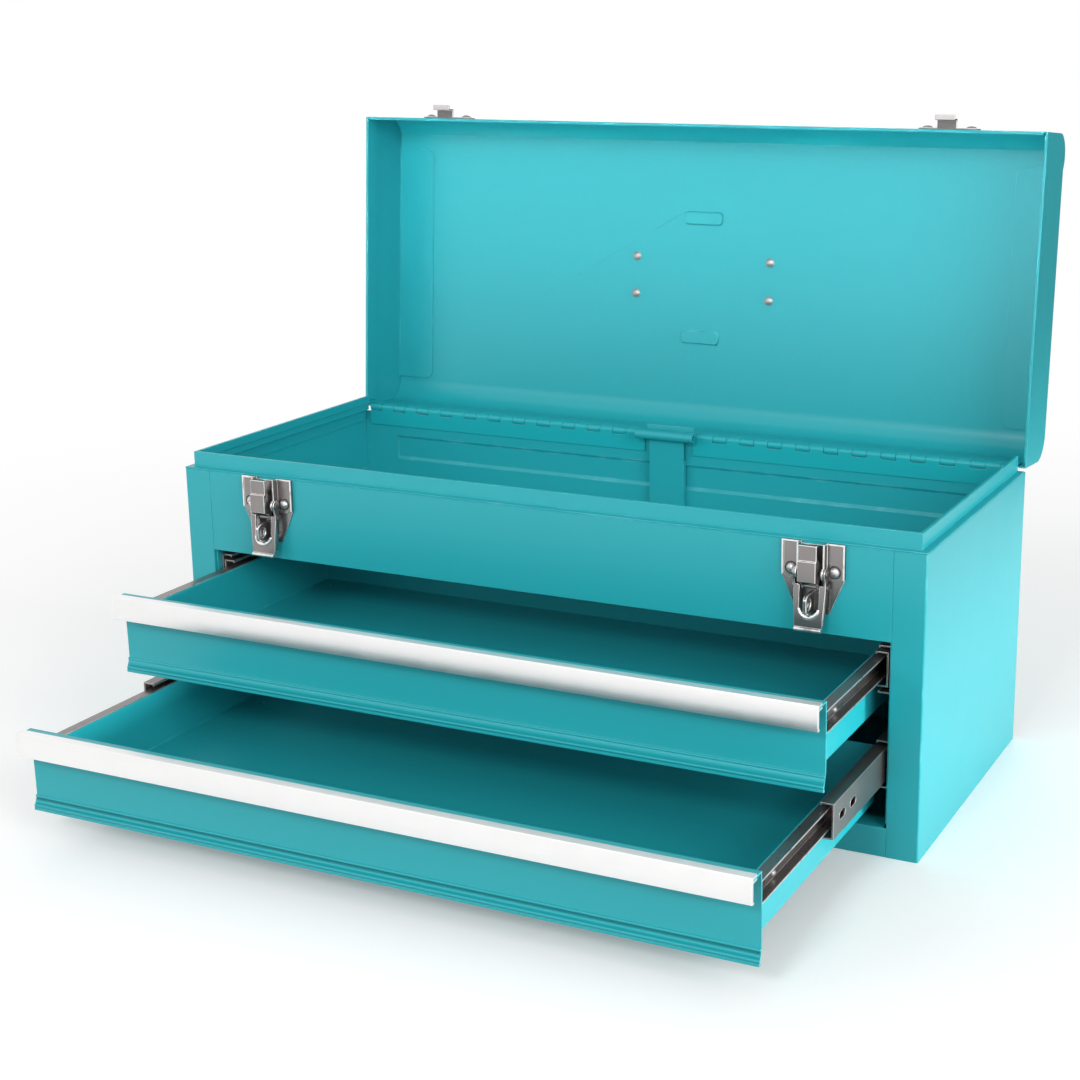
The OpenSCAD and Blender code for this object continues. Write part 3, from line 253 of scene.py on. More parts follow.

# how bright an edge is drawn, in patches: rubbed wear and a painted highlight; bevel faces carry the mask as an
# attribute
edge_wear_and_highlight, start, end = new_group(
    "edge_wear_and_highlight",
    [("Patch", "NodeSocketFloat", 60.0), ("Least", "NodeSocketFloat", 0.45),
     ("Most", "NodeSocketFloat", 0.75)],
    [("Mask", "NodeSocketFloat")])
tree = edge_wear_and_highlight
mark = node_of(tree, "ShaderNodeAttribute", -900, 100, attribute_name="wear_glint_mask")
where = node_of(tree, "ShaderNodeTexCoord", -1200, -200)
patch = node_of(tree, "ShaderNodeTexNoise", -900, -120)
patch.inputs["Detail"].default_value = 3.0
linked(tree, where.outputs["Object"], patch.inputs["Vector"])
linked(tree, start.outputs["Patch"], patch.inputs["Scale"])
span = node_of(tree, "ShaderNodeMapRange", -600, -120, interpolation_type="SMOOTHSTEP")
linked(tree, patch.outputs["Fac"], span.inputs["Value"])
linked(tree, start.outputs["Least"], span.inputs["From Min"])
linked(tree, start.outputs["Most"], span.inputs["From Max"])
wear_glint_mask = node_of(tree, "ShaderNodeMath", -300, 0, operation="MULTIPLY")
linked(tree, span.outputs["Result"], wear_glint_mask.inputs[0])
linked(tree, mark.outputs["Fac"], wear_glint_mask.inputs[1])
linked(tree, wear_glint_mask.outputs[0], end.inputs["Mask"])


def material_of(name, metallic, ior=1.5):
    made = bpy.data.materials.new(name)
    made.use_nodes = True
    shader = made.node_tree.nodes["Principled BSDF"]
    shader.inputs["Metallic"].default_value = metallic
    shader.inputs["IOR"].default_value = ior
    return made, made.node_tree, shader


def placed_group(tree, group, x, y, **values):
    made = node_of(tree, "ShaderNodeGroup", x, y, node_tree=group)
    for label, value in values.items():
        made.inputs[label].default_value = value
    return made


def enamel(name, color, tone=0.05, gloss=0.34, peel=650.0, wave=9.0):
    made, tree, shader = material_of(name, 0.0, 1.5)
    coat = placed_group(tree, sprayed_coat, -900, 0, Color=(*color, 1), Tone=tone, Gloss=gloss, Peel=peel,
                        Wave=wave)
    wear_glint_mask = placed_group(tree, edge_wear_and_highlight, -900, -320)
    # Bevel edges take a lighter teal: thin paint over the bends and a painted highlight.
    thin_paint_and_highlight = node_of(tree, "ShaderNodeMix", -500, 60, data_type="RGBA")
    thin_paint_and_highlight.inputs["B"].default_value = (
        min(1, color[0] + 0.06), min(1, color[1] * 1.25), min(1, color[2] * 1.25), 1)
    linked(tree, wear_glint_mask.outputs["Mask"], thin_paint_and_highlight.inputs["Factor"])
    linked(tree, coat.outputs["Color"], thin_paint_and_highlight.inputs["A"])
    linked(tree, thin_paint_and_highlight.outputs["Result"], shader.inputs["Base Color"])
    linked(tree, coat.outputs["Roughness"], shader.inputs["Roughness"])
    skin = node_of(tree, "ShaderNodeBump", -400, -300)
    skin.inputs["Strength"].default_value = 0.35
    skin.inputs["Distance"].default_value = 0.00006
    linked(tree, coat.outputs["Height"], skin.inputs["Height"])
    linked(tree, skin.outputs["Normal"], shader.inputs["Normal"])
    return made


teal_enamel = enamel("teal_enamel", (0.018, 0.385, 0.436))


def dressed(node, body, material, soft=0.0003, steps=2, folds=None, fold_r=0.0011,
            shape=None, bright_faces=None, kept=None):
    """The node's own shape with its corners rounded by soft metres; bevel faces carry the edge mask at 1, drawn
    lighter as wear and a painted highlight.

    folds picks the edges, by their two ends, that are bent sheet and take the larger radius fold_r.
    shape moves single points before the rounding. bright_faces picks narrow faces that are drawn bright, as
    bare metal and a painted highlight.
    kept picks shallow corners that aren't rounded."""
    shell = bmesh.new()
    shell.from_mesh(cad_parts[node].data)
    if shape:
        for vert in shell.verts:
            vert.co = shape(vert.co)
    bmesh.ops.remove_doubles(shell, verts=shell.verts, dist=1.2e-5)
    bmesh.ops.dissolve_degenerate(shell, edges=shell.edges, dist=1e-5)
    bmesh.ops.dissolve_limit(shell, angle_limit=math.radians(0.3), verts=shell.verts, edges=shell.edges)
    # Faces that carry this mask are drawn lighter: rubbed wear and a painted highlight.
    wear_glint_mask = shell.faces.layers.float.new("wear_glint_mask")
    bent = [e for e in shell.edges if folds and e.is_manifold and e.calc_face_angle(0.0) > math.radians(10)
            and folds(e.verts[0].co, e.verts[1].co)]
    rest = set(e for e in shell.edges if e.is_manifold and e.calc_face_angle(0.0) > math.radians(32)
               and not (kept and kept(e.verts[0].co, e.verts[1].co))) - set(bent)
    for edges, width, count in ((bent, fold_r, 4), (rest, soft, steps)):
        edges = [e for e in edges if e.is_valid]
        if width > 0 and edges:
            done = bmesh.ops.bevel(
                shell, geom=edges, offset=width, segments=count, profile=0.5, affect="EDGES",
                offset_type="OFFSET", clamp_overlap=False, loop_slide=True)
            for face in done["faces"]:
                face[wear_glint_mask] = 1.0
    for face in shell.faces:
        face.smooth = True
        # Picked faces take the edge mask too: drawn bright as bare metal and a painted highlight.
        if bright_faces and bright_faces(face):
            face[wear_glint_mask] = 1.0
    mesh = bpy.data.meshes.new(node + "_piece")
    shell.to_mesh(mesh)
    shell.free()
    mesh.set_sharp_from_angle(angle=math.radians(38))
    return finished(mesh, body, material, [node])


def finished(mesh, body, material, stands_for=()):
    """Puts a mesh in the scene as a piece: weighted normals, flat wide faces, material and body, and hides the
    nodes it stands for.
    """
    piece = bpy.data.objects.new(mesh.name, mesh)
    scene.collection.objects.link(piece)
    even = piece.modifiers.new("even", "WEIGHTED_NORMAL")
    even.keep_sharp = True
    bpy.context.view_layer.update()
    plain = bpy.data.meshes.new_from_object(piece.evaluated_get(bpy.context.evaluated_depsgraph_get()))
    piece.modifiers.clear()
    plain.name = mesh.name + "_mesh"
    normals = [tuple(corner.vector) for corner in plain.corner_normals]
    for wide in plain.polygons:
        if wide.area > 0.003:
            for corner in wide.loop_indices:
                normals[corner] = tuple(wide.normal)
    plain.normals_split_custom_set(normals)
    piece.data = plain
    plain.materials.clear()
    plain.materials.append(material)
    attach(piece, body)
    if stands_for:
        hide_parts(*stands_for)
    return piece


def side_fold(a, b):
    return all(abs(v.x) > 0.2599 and v.y < -0.1099 for v in (a, b)) and abs(a.z - b.z) > 0.1


dressed("side_panel_left", "cabinet", teal_enamel, 0.0004, folds=side_fold)
dressed("side_panel_right", "cabinet", teal_enamel, 0.0004, folds=side_fold)


# ---------------------------------------------------------------- back panel
# One sheet spot-welded between the sides, with two bands pressed into it that stop it drumming.
# They show inside the top tray as two shallow steps under the hinge.
def band_edge(a, b):
    """Edges of the pressed bands: away from the outline of the sheet."""
    return all(abs(v.x) < 0.2465 and 0.012 < v.z < 0.1855 for v in (a, b)) and (a - b).length > 0.012


dressed("back_panel", "cabinet", teal_enamel, 0.0004, folds=band_edge, fold_r=0.0007)


# ---------------------------------------------------------------- bottom pan
# A shallow sheet pan with turned-up flanges that are welded inside the sides and the back.
dressed("bottom_pan", "cabinet", teal_enamel, 0.0004)


# ---------------------------------------------------------------- slide brackets
# Punched sheet brackets welded inside each side, which carry the two fixed slide members.
dressed("slide_bracket_left", "cabinet", teal_enamel, 0.0003)
dressed("slide_bracket_right", "cabinet", teal_enamel, 0.0003)


# ---------------------------------------------------------------- bottom rail
# A folded channel across the front under the lower drawer, welded to both stiles.
dressed("bottom_rail", "cabinet", teal_enamel, 0.0004)


# ---------------------------------------------------------------- upper front panel
# The plain front above the drawers. It is folded under at its lower edge and carries both latches.
dressed("upper_front_panel", "cabinet", teal_enamel, 0.0004)


# ---------------------------------------------------------------- rim and tray floor
# A strip folded into ledge, upright and hem runs round the front and the sides of the tray and keeps the
# lid true. The tray floor is one sheet on flanges, and has a notch at the back for the lock bar.
dressed("tray_rim", "cabinet", teal_enamel, 0.0004)
dressed("tray_floor", "cabinet", teal_enamel, 0.0004)


# ---------------------------------------------------------------- piano hinge
# Two rolled leaves on two thin steel pins, spot-welded to back panel and lid and enamelled with them.
# The knuckle edges are drawn lighter: paint rubbed thin where they turn on each other, and a painted highlight.
hinge_enamel = enamel("hinge_enamel", (0.012, 0.41, 0.46), gloss=0.3)


def notch_up(at):
    """Brings the leaf's notch bottoms up under the other leaf's knuckles, and each inner end to the bar."""
    if abs(at.x) < 0.0246:
        return Vector((math.copysign(0.0189, at.x), at.y, at.z))
    if at.z < 0.18775 and at.z > 0.1876 and at.y < 0.1092:
        return Vector((at.x, at.y, 0.18835))
    return at


dressed("hinge_body_leaf", "cabinet", hinge_enamel, 0.00015, shape=notch_up)
dressed("hinge_lid_leaf", "lid", hinge_enamel, 0.00015)

# grain that runs one way in drawn or rolled metal, with faint stains across it
drawn_metal, start, end = new_group(
    "drawn_metal",
    [("Color", "NodeSocketColor", (0.5, 0.5, 0.5, 1)), ("Along", "NodeSocketVector", (1.0, 60.0, 60.0)),
     ("Scale", "NodeSocketFloat", 30.0), ("Tone", "NodeSocketFloat", 0.2), ("Gloss", "NodeSocketFloat", 0.3),
     ("Spread", "NodeSocketFloat", 0.15)],
    [("Color", "NodeSocketColor"), ("Roughness", "NodeSocketFloat"), ("Height", "NodeSocketFloat")])
tree = drawn_metal
where = node_of(tree, "ShaderNodeTexCoord", -1400, -300)
run = node_of(tree, "ShaderNodeVectorMath", -1100, -200, operation="MULTIPLY")
linked(tree, where.outputs["Object"], run.inputs[0])
linked(tree, start.outputs["Along"], run.inputs[1])
grain = node_of(tree, "ShaderNodeTexNoise", -900, -200)
grain.inputs["Detail"].default_value = 4.0
linked(tree, run.outputs[0], grain.inputs["Vector"])
linked(tree, start.outputs["Scale"], grain.inputs["Scale"])
stain = node_of(tree, "ShaderNodeTexNoise", -900, 160)
stain.inputs["Scale"].default_value = 70.0
stain.inputs["Detail"].default_value = 4.0
linked(tree, where.outputs["Object"], stain.inputs["Vector"])
added = node_of(tree, "ShaderNodeMath", -700, 60, operation="ADD")
linked(tree, grain.outputs["Fac"], added.inputs[0])
linked(tree, stain.outputs["Fac"], added.inputs[1])
level = node_of(tree, "ShaderNodeMath", -520, 60, operation="SUBTRACT")
level.inputs[1].default_value = 1.0
linked(tree, added.outputs[0], level.inputs[0])
tone = node_of(tree, "ShaderNodeMath", -340, 120, operation="MULTIPLY_ADD")
tone.inputs[2].default_value = 1.0
linked(tree, level.outputs[0], tone.inputs[0])
linked(tree, start.outputs["Tone"], tone.inputs[1])
shade = node_of(tree, "ShaderNodeVectorMath", -140, 160, operation="SCALE")
linked(tree, start.outputs["Color"], shade.inputs[0])
linked(tree, tone.outputs[0], shade.inputs["Scale"])
linked(tree, shade.outputs[0], end.inputs["Color"])
rough = node_of(tree, "ShaderNodeMath", -340, -60, operation="MULTIPLY_ADD")
linked(tree, level.outputs[0], rough.inputs[0])
linked(tree, start.outputs["Spread"], rough.inputs[1])
linked(tree, start.outputs["Gloss"], rough.inputs[2])
linked(tree, rough.outputs[0], end.inputs["Roughness"])
linked(tree, grain.outputs["Fac"], end.inputs["Height"])


def bare_metal(name, color, along, scale=30.0, tone=0.2, gloss=0.3, spread=0.15, depth=0.00002, strength=0.3,
               metallic=1.0, wear_and_highlight_gain=1.7, graze=1.0):
    made, tree, shader = material_of(name, metallic, 1.5)
    shader.inputs["Specular Tint"].default_value = (graze, graze, graze, 1)
    metal = placed_group(tree, drawn_metal, -900, 0, Color=(*color, 1), Along=along, Scale=scale, Tone=tone,
                         Gloss=gloss, Spread=spread)
    wear_glint_mask = placed_group(tree, edge_wear_and_highlight, -900, -320, Patch=90.0, Least=0.2, Most=0.5)
    # Bevel edges take a lighter copy of the colour: rubbed wear and a painted highlight.
    bright = node_of(tree, "ShaderNodeMix", -500, 60, data_type="RGBA")
    bright.inputs["B"].default_value = (*(min(0.92, c * wear_and_highlight_gain) for c in color), 1)
    linked(tree, wear_glint_mask.outputs["Mask"], bright.inputs["Factor"])
    linked(tree, metal.outputs["Color"], bright.inputs["A"])
    linked(tree, bright.outputs["Result"], shader.inputs["Base Color"])
    linked(tree, metal.outputs["Roughness"], shader.inputs["Roughness"])
    skin = node_of(tree, "ShaderNodeBump", -400, -300)
    skin.inputs["Strength"].default_value = strength
    skin.inputs["Distance"].default_value = depth
    linked(tree, metal.outputs["Height"], skin.inputs["Height"])
    linked(tree, skin.outputs["Normal"], shader.inputs["Normal"])
    return made


pin_steel = bare_metal("pin_steel", (0.62, 0.61, 0.60), (1, 40, 40))
dressed("hinge_pins", "cabinet", pin_steel, 0.0)


# ---------------------------------------------------------------- ball slides
# Each drawer runs on two three-member slides rolled from plated strip: a fixed outer member, a middle
# member that goes half as far, and an inner member riveted to the tray. Steel balls sit in plated cages.
slide_steel = bare_metal("slide_steel", (0.22, 0.20, 0.195), (40, 1, 40), tone=0.3, gloss=0.34,
                         metallic=0.8, wear_and_highlight_gain=2.6)
# A lighter copy of the slide steel with stronger edge highlights: painted light on the inner members, their
# beads and the rivets.
slide_steel_lit = bare_metal("slide_steel_lit", (0.24, 0.22, 0.215), (40, 1, 40), tone=0.25, gloss=0.3,
                          metallic=0.85, wear_and_highlight_gain=3.2)


def lip(face):
    """The long narrow edges of a slide member, drawn bright: partly rubbed by the balls and by handling, partly
    a painted highlight.
    """
    heights = [vert.co.z for vert in face.verts]
    return abs(face.normal.x) > 0.9 and max(heights) - min(heights) < 0.0014


def wires(name, runs, radius, body, material, closed=False, thin_ends=1.0):
    """Round wires or beads along lists of points, capped at both ends or closed into loops, as one piece.

    thin_ends is the share of the radius that is left at both ends."""
    curve = bpy.data.curves.new(name, "CURVE")
    curve.dimensions = "3D"
    curve.bevel_depth = radius
    curve.bevel_resolution = 4
    curve.use_fill_caps = not closed
    for points in runs:
        spline = curve.splines.new("POLY")
        spline.use_cyclic_u = closed
        spline.points.add(len(points) - 1)
        for i, (point, at) in enumerate(zip(spline.points, points)):
            point.co = (*at, 1)
            point.radius = thin_ends + (1 - thin_ends) * math.sin(math.pi * i / (len(points) - 1))
    line = bpy.data.objects.new(name, curve)
    scene.collection.objects.link(line)
    bpy.context.view_layer.update()
    mesh = bpy.data.meshes.new_from_object(line.evaluated_get(bpy.context.evaluated_depsgraph_get()))
    bpy.data.objects.remove(line)
    shell = bmesh.new()
    shell.from_mesh(mesh)
    bmesh.ops.remove_doubles(shell, verts=shell.verts, dist=1e-6)
    bmesh.ops.recalc_face_normals(shell, faces=shell.faces)
    wear_glint_mask = shell.faces.layers.float.new("wear_glint_mask")
    # Every face of a wire carries the edge mask, so the whole wire is drawn lighter: wear and a painted
    # highlight.
    for face in shell.faces:
        face.smooth = True
        face[wear_glint_mask] = 1.0
    shell.to_mesh(mesh)
    shell.free()
    mesh.name = name
    return finished(mesh, body, material)


def stadium(side, x, y, z, half_run, r, count=10):
    """Points round a long window in a face that looks sideways, in millimetres from its centre."""
    loop = []
    for end, start_deg in ((1, -90), (-1, 90)):
        for k in range(count + 1):
            a = math.radians(start_deg + 180 * k / count)
            loop.append(Vector((side * x, y + end * half_run + r * math.cos(a), z + r * math.sin(a))) / 1000)
    return loop


for row in ("upper", "lower"):
    dressed(row + "_slide_outer_members", "cabinet", slide_steel, 0.00025, bright_faces=lip)
    dressed(row + "_slide_middle_members", row + "_slides", slide_steel, 0.00025, bright_faces=lip)
    dressed(row + "_slide_inner_members", row + "_drawer", slide_steel_lit, 0.0003, bright_faces=lip)

# a rolled bead along each inner member, and the burr that the punch leaves round each window
for row, z, front, mid_front in (("upper", 115, -201, -104), ("lower", 56, -292, -194.5)):
    beads = [[Vector((side * 227.25, front + run, z + 3.6)) / 1000 for run in (3, 197)] for side in (-1, 1)]
    wires(row + "_slide_beads", beads, 0.00045, row + "_drawer", slide_steel_lit)
    burrs = [stadium(side, 236.75, mid_front + run, z, 2.5, 2.5)
             for side in (-1, 1) for run in (14, 32, 168, 186)]
    wires(row + "_window_burrs", burrs, 0.0003, row + "_slides", slide_steel, closed=True)

ball_steel = bare_metal("ball_steel", (0.68, 0.68, 0.68), (1, 1, 1), tone=0.1, gloss=0.12, spread=0.05)
for row in ("upper", "lower"):
    for at in ("outer", "inner"):
        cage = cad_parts[f"{row}_{at}_ball_cages"]
        cage.data.materials.clear()
        cage.data.materials.append(ball_steel)
dressed("slide_rivets", "cabinet", slide_steel_lit, 0.0)

# domed rivet heads with a thin upset ring, set on points that carry their own axis
rivet_heads = bpy.data.node_groups.new("rivet_heads", "GeometryNodeTree")
rivet_heads.interface.new_socket(name="Geometry", in_out="INPUT", socket_type="NodeSocketGeometry")
for label, value in (("Radius", 0.0035), ("Height", 0.0018), ("Ring", 0.0004)):
    socket = rivet_heads.interface.new_socket(name=label, in_out="INPUT", socket_type="NodeSocketFloat")
    socket.default_value = value
rivet_heads.interface.new_socket(name="Material", in_out="INPUT", socket_type="NodeSocketMaterial")
rivet_heads.interface.new_socket(name="Geometry", in_out="OUTPUT", socket_type="NodeSocketGeometry")
tree = rivet_heads
start = node_of(tree, "NodeGroupInput", -1400, 0)
end = node_of(tree, "NodeGroupOutput", 700, 0)
ball = node_of(tree, "GeometryNodeMeshUVSphere", -1100, 200)
ball.inputs["Segments"].default_value = 28
ball.inputs["Rings"].default_value = 16
linked(tree, start.outputs["Radius"], ball.inputs["Radius"])
flat = node_of(tree, "ShaderNodeMath", -1100, 0, operation="DIVIDE")
linked(tree, start.outputs["Height"], flat.inputs[0])
linked(tree, start.outputs["Radius"], flat.inputs[1])
scale = node_of(tree, "ShaderNodeCombineXYZ", -900, 0)
scale.inputs["X"].default_value = 1.0
scale.inputs["Y"].default_value = 1.0
linked(tree, flat.outputs[0], scale.inputs["Z"])
press = node_of(tree, "GeometryNodeTransform", -700, 200)
linked(tree, ball.outputs["Mesh"], press.inputs["Geometry"])
linked(tree, scale.outputs[0], press.inputs["Scale"])
loop = node_of(tree, "GeometryNodeCurvePrimitiveCircle", -1100, -200, mode="RADIUS")
linked(tree, start.outputs["Radius"], loop.inputs["Radius"])
section = node_of(tree, "GeometryNodeCurvePrimitiveCircle", -1100, -400, mode="RADIUS")
section.inputs["Resolution"].default_value = 10
linked(tree, start.outputs["Ring"], section.inputs["Radius"])
upset = node_of(tree, "GeometryNodeCurveToMesh", -800, -250)
linked(tree, loop.outputs["Curve"], upset.inputs["Curve"])
linked(tree, section.outputs["Curve"], upset.inputs["Profile Curve"])
head = node_of(tree, "GeometryNodeJoinGeometry", -500, 0)
linked(tree, press.outputs["Geometry"], head.inputs["Geometry"])
linked(tree, upset.outputs["Mesh"], head.inputs["Geometry"])
axis = node_of(tree, "GeometryNodeInputNamedAttribute", -700, -450, data_type="FLOAT_VECTOR")
axis.inputs["Name"].default_value = "axis"
turn = node_of(tree, "FunctionNodeAlignRotationToVector", -450, -350, axis="Z")
linked(tree, axis.outputs["Attribute"], turn.inputs["Vector"])
spots = node_of(tree, "GeometryNodeInstanceOnPoints", -200, 0)
linked(tree, start.outputs["Geometry"], spots.inputs["Points"])
linked(tree, head.outputs["Geometry"], spots.inputs["Instance"])
linked(tree, turn.outputs["Rotation"], spots.inputs["Rotation"])
real = node_of(tree, "GeometryNodeRealizeInstances", 50, 0)
linked(tree, spots.outputs["Instances"], real.inputs["Geometry"])
smooth = node_of(tree, "GeometryNodeSetShadeSmooth", 250, 0)
linked(tree, real.outputs["Geometry"], smooth.inputs["Geometry"])
paint = node_of(tree, "GeometryNodeSetMaterial", 450, 0)
linked(tree, smooth.outputs["Geometry"], paint.inputs["Geometry"])
linked(tree, start.outputs["Material"], paint.inputs["Material"])
linked(tree, paint.outputs["Geometry"], end.inputs["Geometry"])


def riveted(name, body, material, spots, radius, height, ring=0.0004, stands_for=()):
    """Rivet heads at (place, outward axis) pairs, made by the rivet_heads tree and kept as one plain mesh."""
    mesh = bpy.data.meshes.new(name + "_spots")
    mesh.from_pydata([tuple(at) for at, _ in spots], [], [])
    ways = mesh.attributes.new("axis", "FLOAT_VECTOR", "POINT")
    for i, (_, way) in enumerate(spots):
        ways.data[i].vector = way
    seeds = bpy.data.objects.new(name + "_spots", mesh)
    scene.collection.objects.link(seeds)
    made = seeds.modifiers.new("heads", "NODES")
    made.node_group = rivet_heads
    values = {"Radius": radius, "Height": height, "Ring": ring, "Material": material}
    for item in rivet_heads.interface.items_tree:
        if item.item_type == "SOCKET" and item.in_out == "INPUT" and item.name in values:
            made[item.identifier] = values[item.name]
    bpy.context.view_layer.update()
    plain = bpy.data.meshes.new_from_object(seeds.evaluated_get(bpy.context.evaluated_depsgraph_get()))
    bpy.data.objects.remove(seeds)
    plain.name = name
    return finished(plain, body, material, stands_for)


rivet_zinc = bare_metal("rivet_zinc", (0.46, 0.455, 0.45), (6, 6, 6), scale=12, tone=0.1, gloss=0.34,
                        spread=0.1, strength=0.1, metallic=0.9)
for row, z, front in (("upper", 0.1114, -0.201), ("lower", 0.0524, -0.292)):
    riveted(f"{row}_slide_studs", row + "_drawer", rivet_zinc,
            [(Vector((side * 0.2272, front + run, z)), (side, 0, 0))
             for side in (-1, 1) for run in (0.032, 0.168)],
            0.0021, 0.0014, 0.0003)


# ---------------------------------------------------------------- drawers
# A tray folded from one sheet, a front folded over its ends with a flared foot, and along the top of the
# front a drawn aluminium pull with a satin anodised face.
strip_metal = bare_metal("strip_metal", (0.88, 0.875, 0.87), (1, 70, 70), scale=40, tone=0.05, gloss=0.40,
                         spread=0.1)
for row in ("upper", "lower"):
    body = row + "_drawer"
    dressed(row + "_drawer_tray", body, teal_enamel, 0.0004)
    dressed(row + "_drawer_front", body, teal_enamel, 0.0004)
    dressed(row + "_drawer_pull", body, strip_metal, 0.0004)
    dressed(row + "_drawer_rivets", body, slide_steel_lit, 0.0)


# ---------------------------------------------------------------- lid
# One sheet bent into front wall, top and rear wall, closed by a pressed cap at each end whose wide
# flange lies under the top. Two short pockets are pressed into the top under the handle.
hinge_y = 110.5
hinge_z = 190.5
thrown_back = 94.5


def on_lid(x, y, z):
    """A place on the closed lid, in millimetres, taken to where it is with the lid thrown back."""
    turn = math.radians(-thrown_back)
    dy, dz = y - hinge_y, z - hinge_z
    return Vector((x, hinge_y + dy * math.cos(turn) - dz * math.sin(turn),
                   hinge_z + dy * math.sin(turn) + dz * math.cos(turn))) / 1000


def off_lid(at):
    """The same place taken back to the closed lid."""
    turn = math.radians(thrown_back)
    dy, dz = at.y * 1000 - hinge_y, at.z * 1000 - hinge_z
    return (at.x * 1000, hinge_y + dy * math.cos(turn) - dz * math.sin(turn),
            hinge_z + dy * math.sin(turn) + dz * math.cos(turn))


nose_y = -95
nose_z = 228
nose_r = 14
strip_front = -96.5
strip_rear = -87.5


def feathered(at):
    """Runs the doubled strip under the top out to nothing, so that it leaves no step.

    The inside of the nose comes down to the front edge of the strip in one shallow curve."""
    x, y, z = off_lid(at)
    if abs(y + 93) < 0.05 and z > 241.9:
        return on_lid(x, y + 0.22, z - 0.17 if z > 242.5 else 239.2)
    if z > nose_z + 0.2 and abs(math.hypot(y - nose_y, z - nose_z) - nose_r) < 0.1:
        part = math.degrees(math.atan2(z - nose_z, nose_y - y)) / 80
        if part > 1.05:
            return on_lid(x, y, 239.2)
        part = min(1, part)
        belly = 1.1 * math.sin(math.pi * part)
        return on_lid(x, -109 + 11 * part - belly, nose_z + 10.8 * part + belly)
    lower = abs(z - 238) < 0.3
    upper = abs(z - 239) < 0.3
    if abs(y - strip_rear) < 0.3 and (lower or upper):
        return on_lid(x, -52, 239)
    if abs(y - strip_front) < 0.3 and (lower or upper):
        return on_lid(x, -98.1, 238.62 if lower else 238.95)
    return at


def pocket_edge(a, b):
    """Edges of the two pockets, on the side that shows inside the lid."""
    return all(abs(x) < 15.2 and abs(abs(y) - 43.5) < 4.8 and z < 239.2
               for x, y, z in (off_lid(a), off_lid(b)))


def nose_corner(a, b):
    """Shallow corners along the back of the nose."""
    return abs(a.x - b.x) > 0.0005 and all(-94 < y < -85.5 and z > 238.9
                                           for _, y, z in (off_lid(a), off_lid(b)))


dressed("lid_shell", "lid", teal_enamel, 0.0004, shape=feathered, folds=pocket_edge, fold_r=0.0007,
        kept=nose_corner)
dressed("lid_end_left", "lid", teal_enamel, 0.0004, shape=feathered, kept=nose_corner)
dressed("lid_end_right", "lid", teal_enamel, 0.0004, shape=feathered, kept=nose_corner)


# ---------------------------------------------------------------- handle
# A bail of bent wire in two pressed clips, each held by two rivets, with a moulded grip on the wire.
zinc = bare_metal("zinc", (0.29, 0.272, 0.268), (6, 6, 6), scale=12, tone=0.22, gloss=0.24, spread=0.1,
                  strength=0.12, metallic=0.88, wear_and_highlight_gain=3.3, graze=0.7)
bail_zinc = bare_metal("bail_zinc", (0.50, 0.49, 0.47), (8, 8, 8), scale=30, tone=0.2, gloss=0.22,
                       spread=0.15)
dressed("handle_clips", "lid", zinc, 0.0002)
dressed("handle_bail", "handle", bail_zinc, 0.0)
grip_black = enamel("grip_black", (0.02, 0.02, 0.022), gloss=0.55, peel=900.0, wave=1.0)
dressed("handle_grip", "handle", grip_black, 0.0003)
out = (on_lid(0, 0, 1) - on_lid(0, 0, 0)).normalized()
riveted("handle_rivet_heads", "lid", rivet_zinc,
        [(on_lid(sx * 53, sy * 13.75, 241.5), out) for sx in (-1, 1) for sy in (-1, 1)]
        + [(on_lid(sx * 53, sy * 13.75, 239.0), -out) for sx in (-1, 1) for sy in (-1, 1)],
        0.0030, 0.0015, stands_for=["handle_rivets"])


# ---------------------------------------------------------------- latches
# Pressed and plated draw latches: a base with two wings and two ears riveted to the front panel, a lever
# on a cross rivet, a claw that hangs in the lever, a staple for a padlock, and a catch plate on the lid.
def on_lever(side, x, n, z, loose=-4.0):
    """A place on a latch lever, n in front of the panel with the lever shut, in millimetres."""
    turn = math.radians(loose)
    dy, dz = -110 - n + 116.2, z - 172
    return Vector((side * 192 + x, -116.2 + dy * math.cos(turn) - dz * math.sin(turn),
                   172 + dy * math.sin(turn) + dz * math.cos(turn))) / 1000


def base_rim(face):
    """Raised rims of the wings and front edges of the ears, drawn bright as a painted highlight."""
    return face.calc_center_median().y < -0.1125 and face.normal.y < -0.3


def lever_roll(face):
    """The rolled finger edge at the foot of a lever, drawn bright as a painted highlight."""
    return face.calc_center_median().z < 0.1397


def claw_step(face):
    """The sloping step across the front of a claw, drawn bright as a painted highlight."""
    return face.normal.z > 0.4 and face.normal.y < -0.3


# A lighter copy of the rivet zinc: painted highlight on the latch rivet heads and the catch plate rivet tails.
rivet_zinc_lit = bare_metal("rivet_zinc_lit", (0.66, 0.655, 0.65), (6, 6, 6), scale=12, tone=0.1, gloss=0.34,
                          spread=0.1, strength=0.1, metallic=0.9)
# Near-black zinc for the rings round the latch rivets: painted shade.
shade_zinc = bare_metal("shade_zinc", (0.07, 0.062, 0.06), (6, 6, 6), scale=20, tone=0.3, gloss=0.5, spread=0.1,
                       metallic=0.5, wear_and_highlight_gain=1.2, graze=0.3)
# A darker copy of the latch zinc: painted shade on the catch plates.
strike_zinc_shaded = bare_metal("strike_zinc_shaded", (0.19, 0.18, 0.178), (6, 6, 6), scale=12, tone=0.2, gloss=0.3,
                         spread=0.1, strength=0.12, metallic=0.88, wear_and_highlight_gain=3.3, graze=0.7)


def hook_lip(face):
    """The lip of a catch plate, drawn bright against the darker plate as a painted highlight."""
    return off_lid(face.calc_center_median())[2] < 188.4


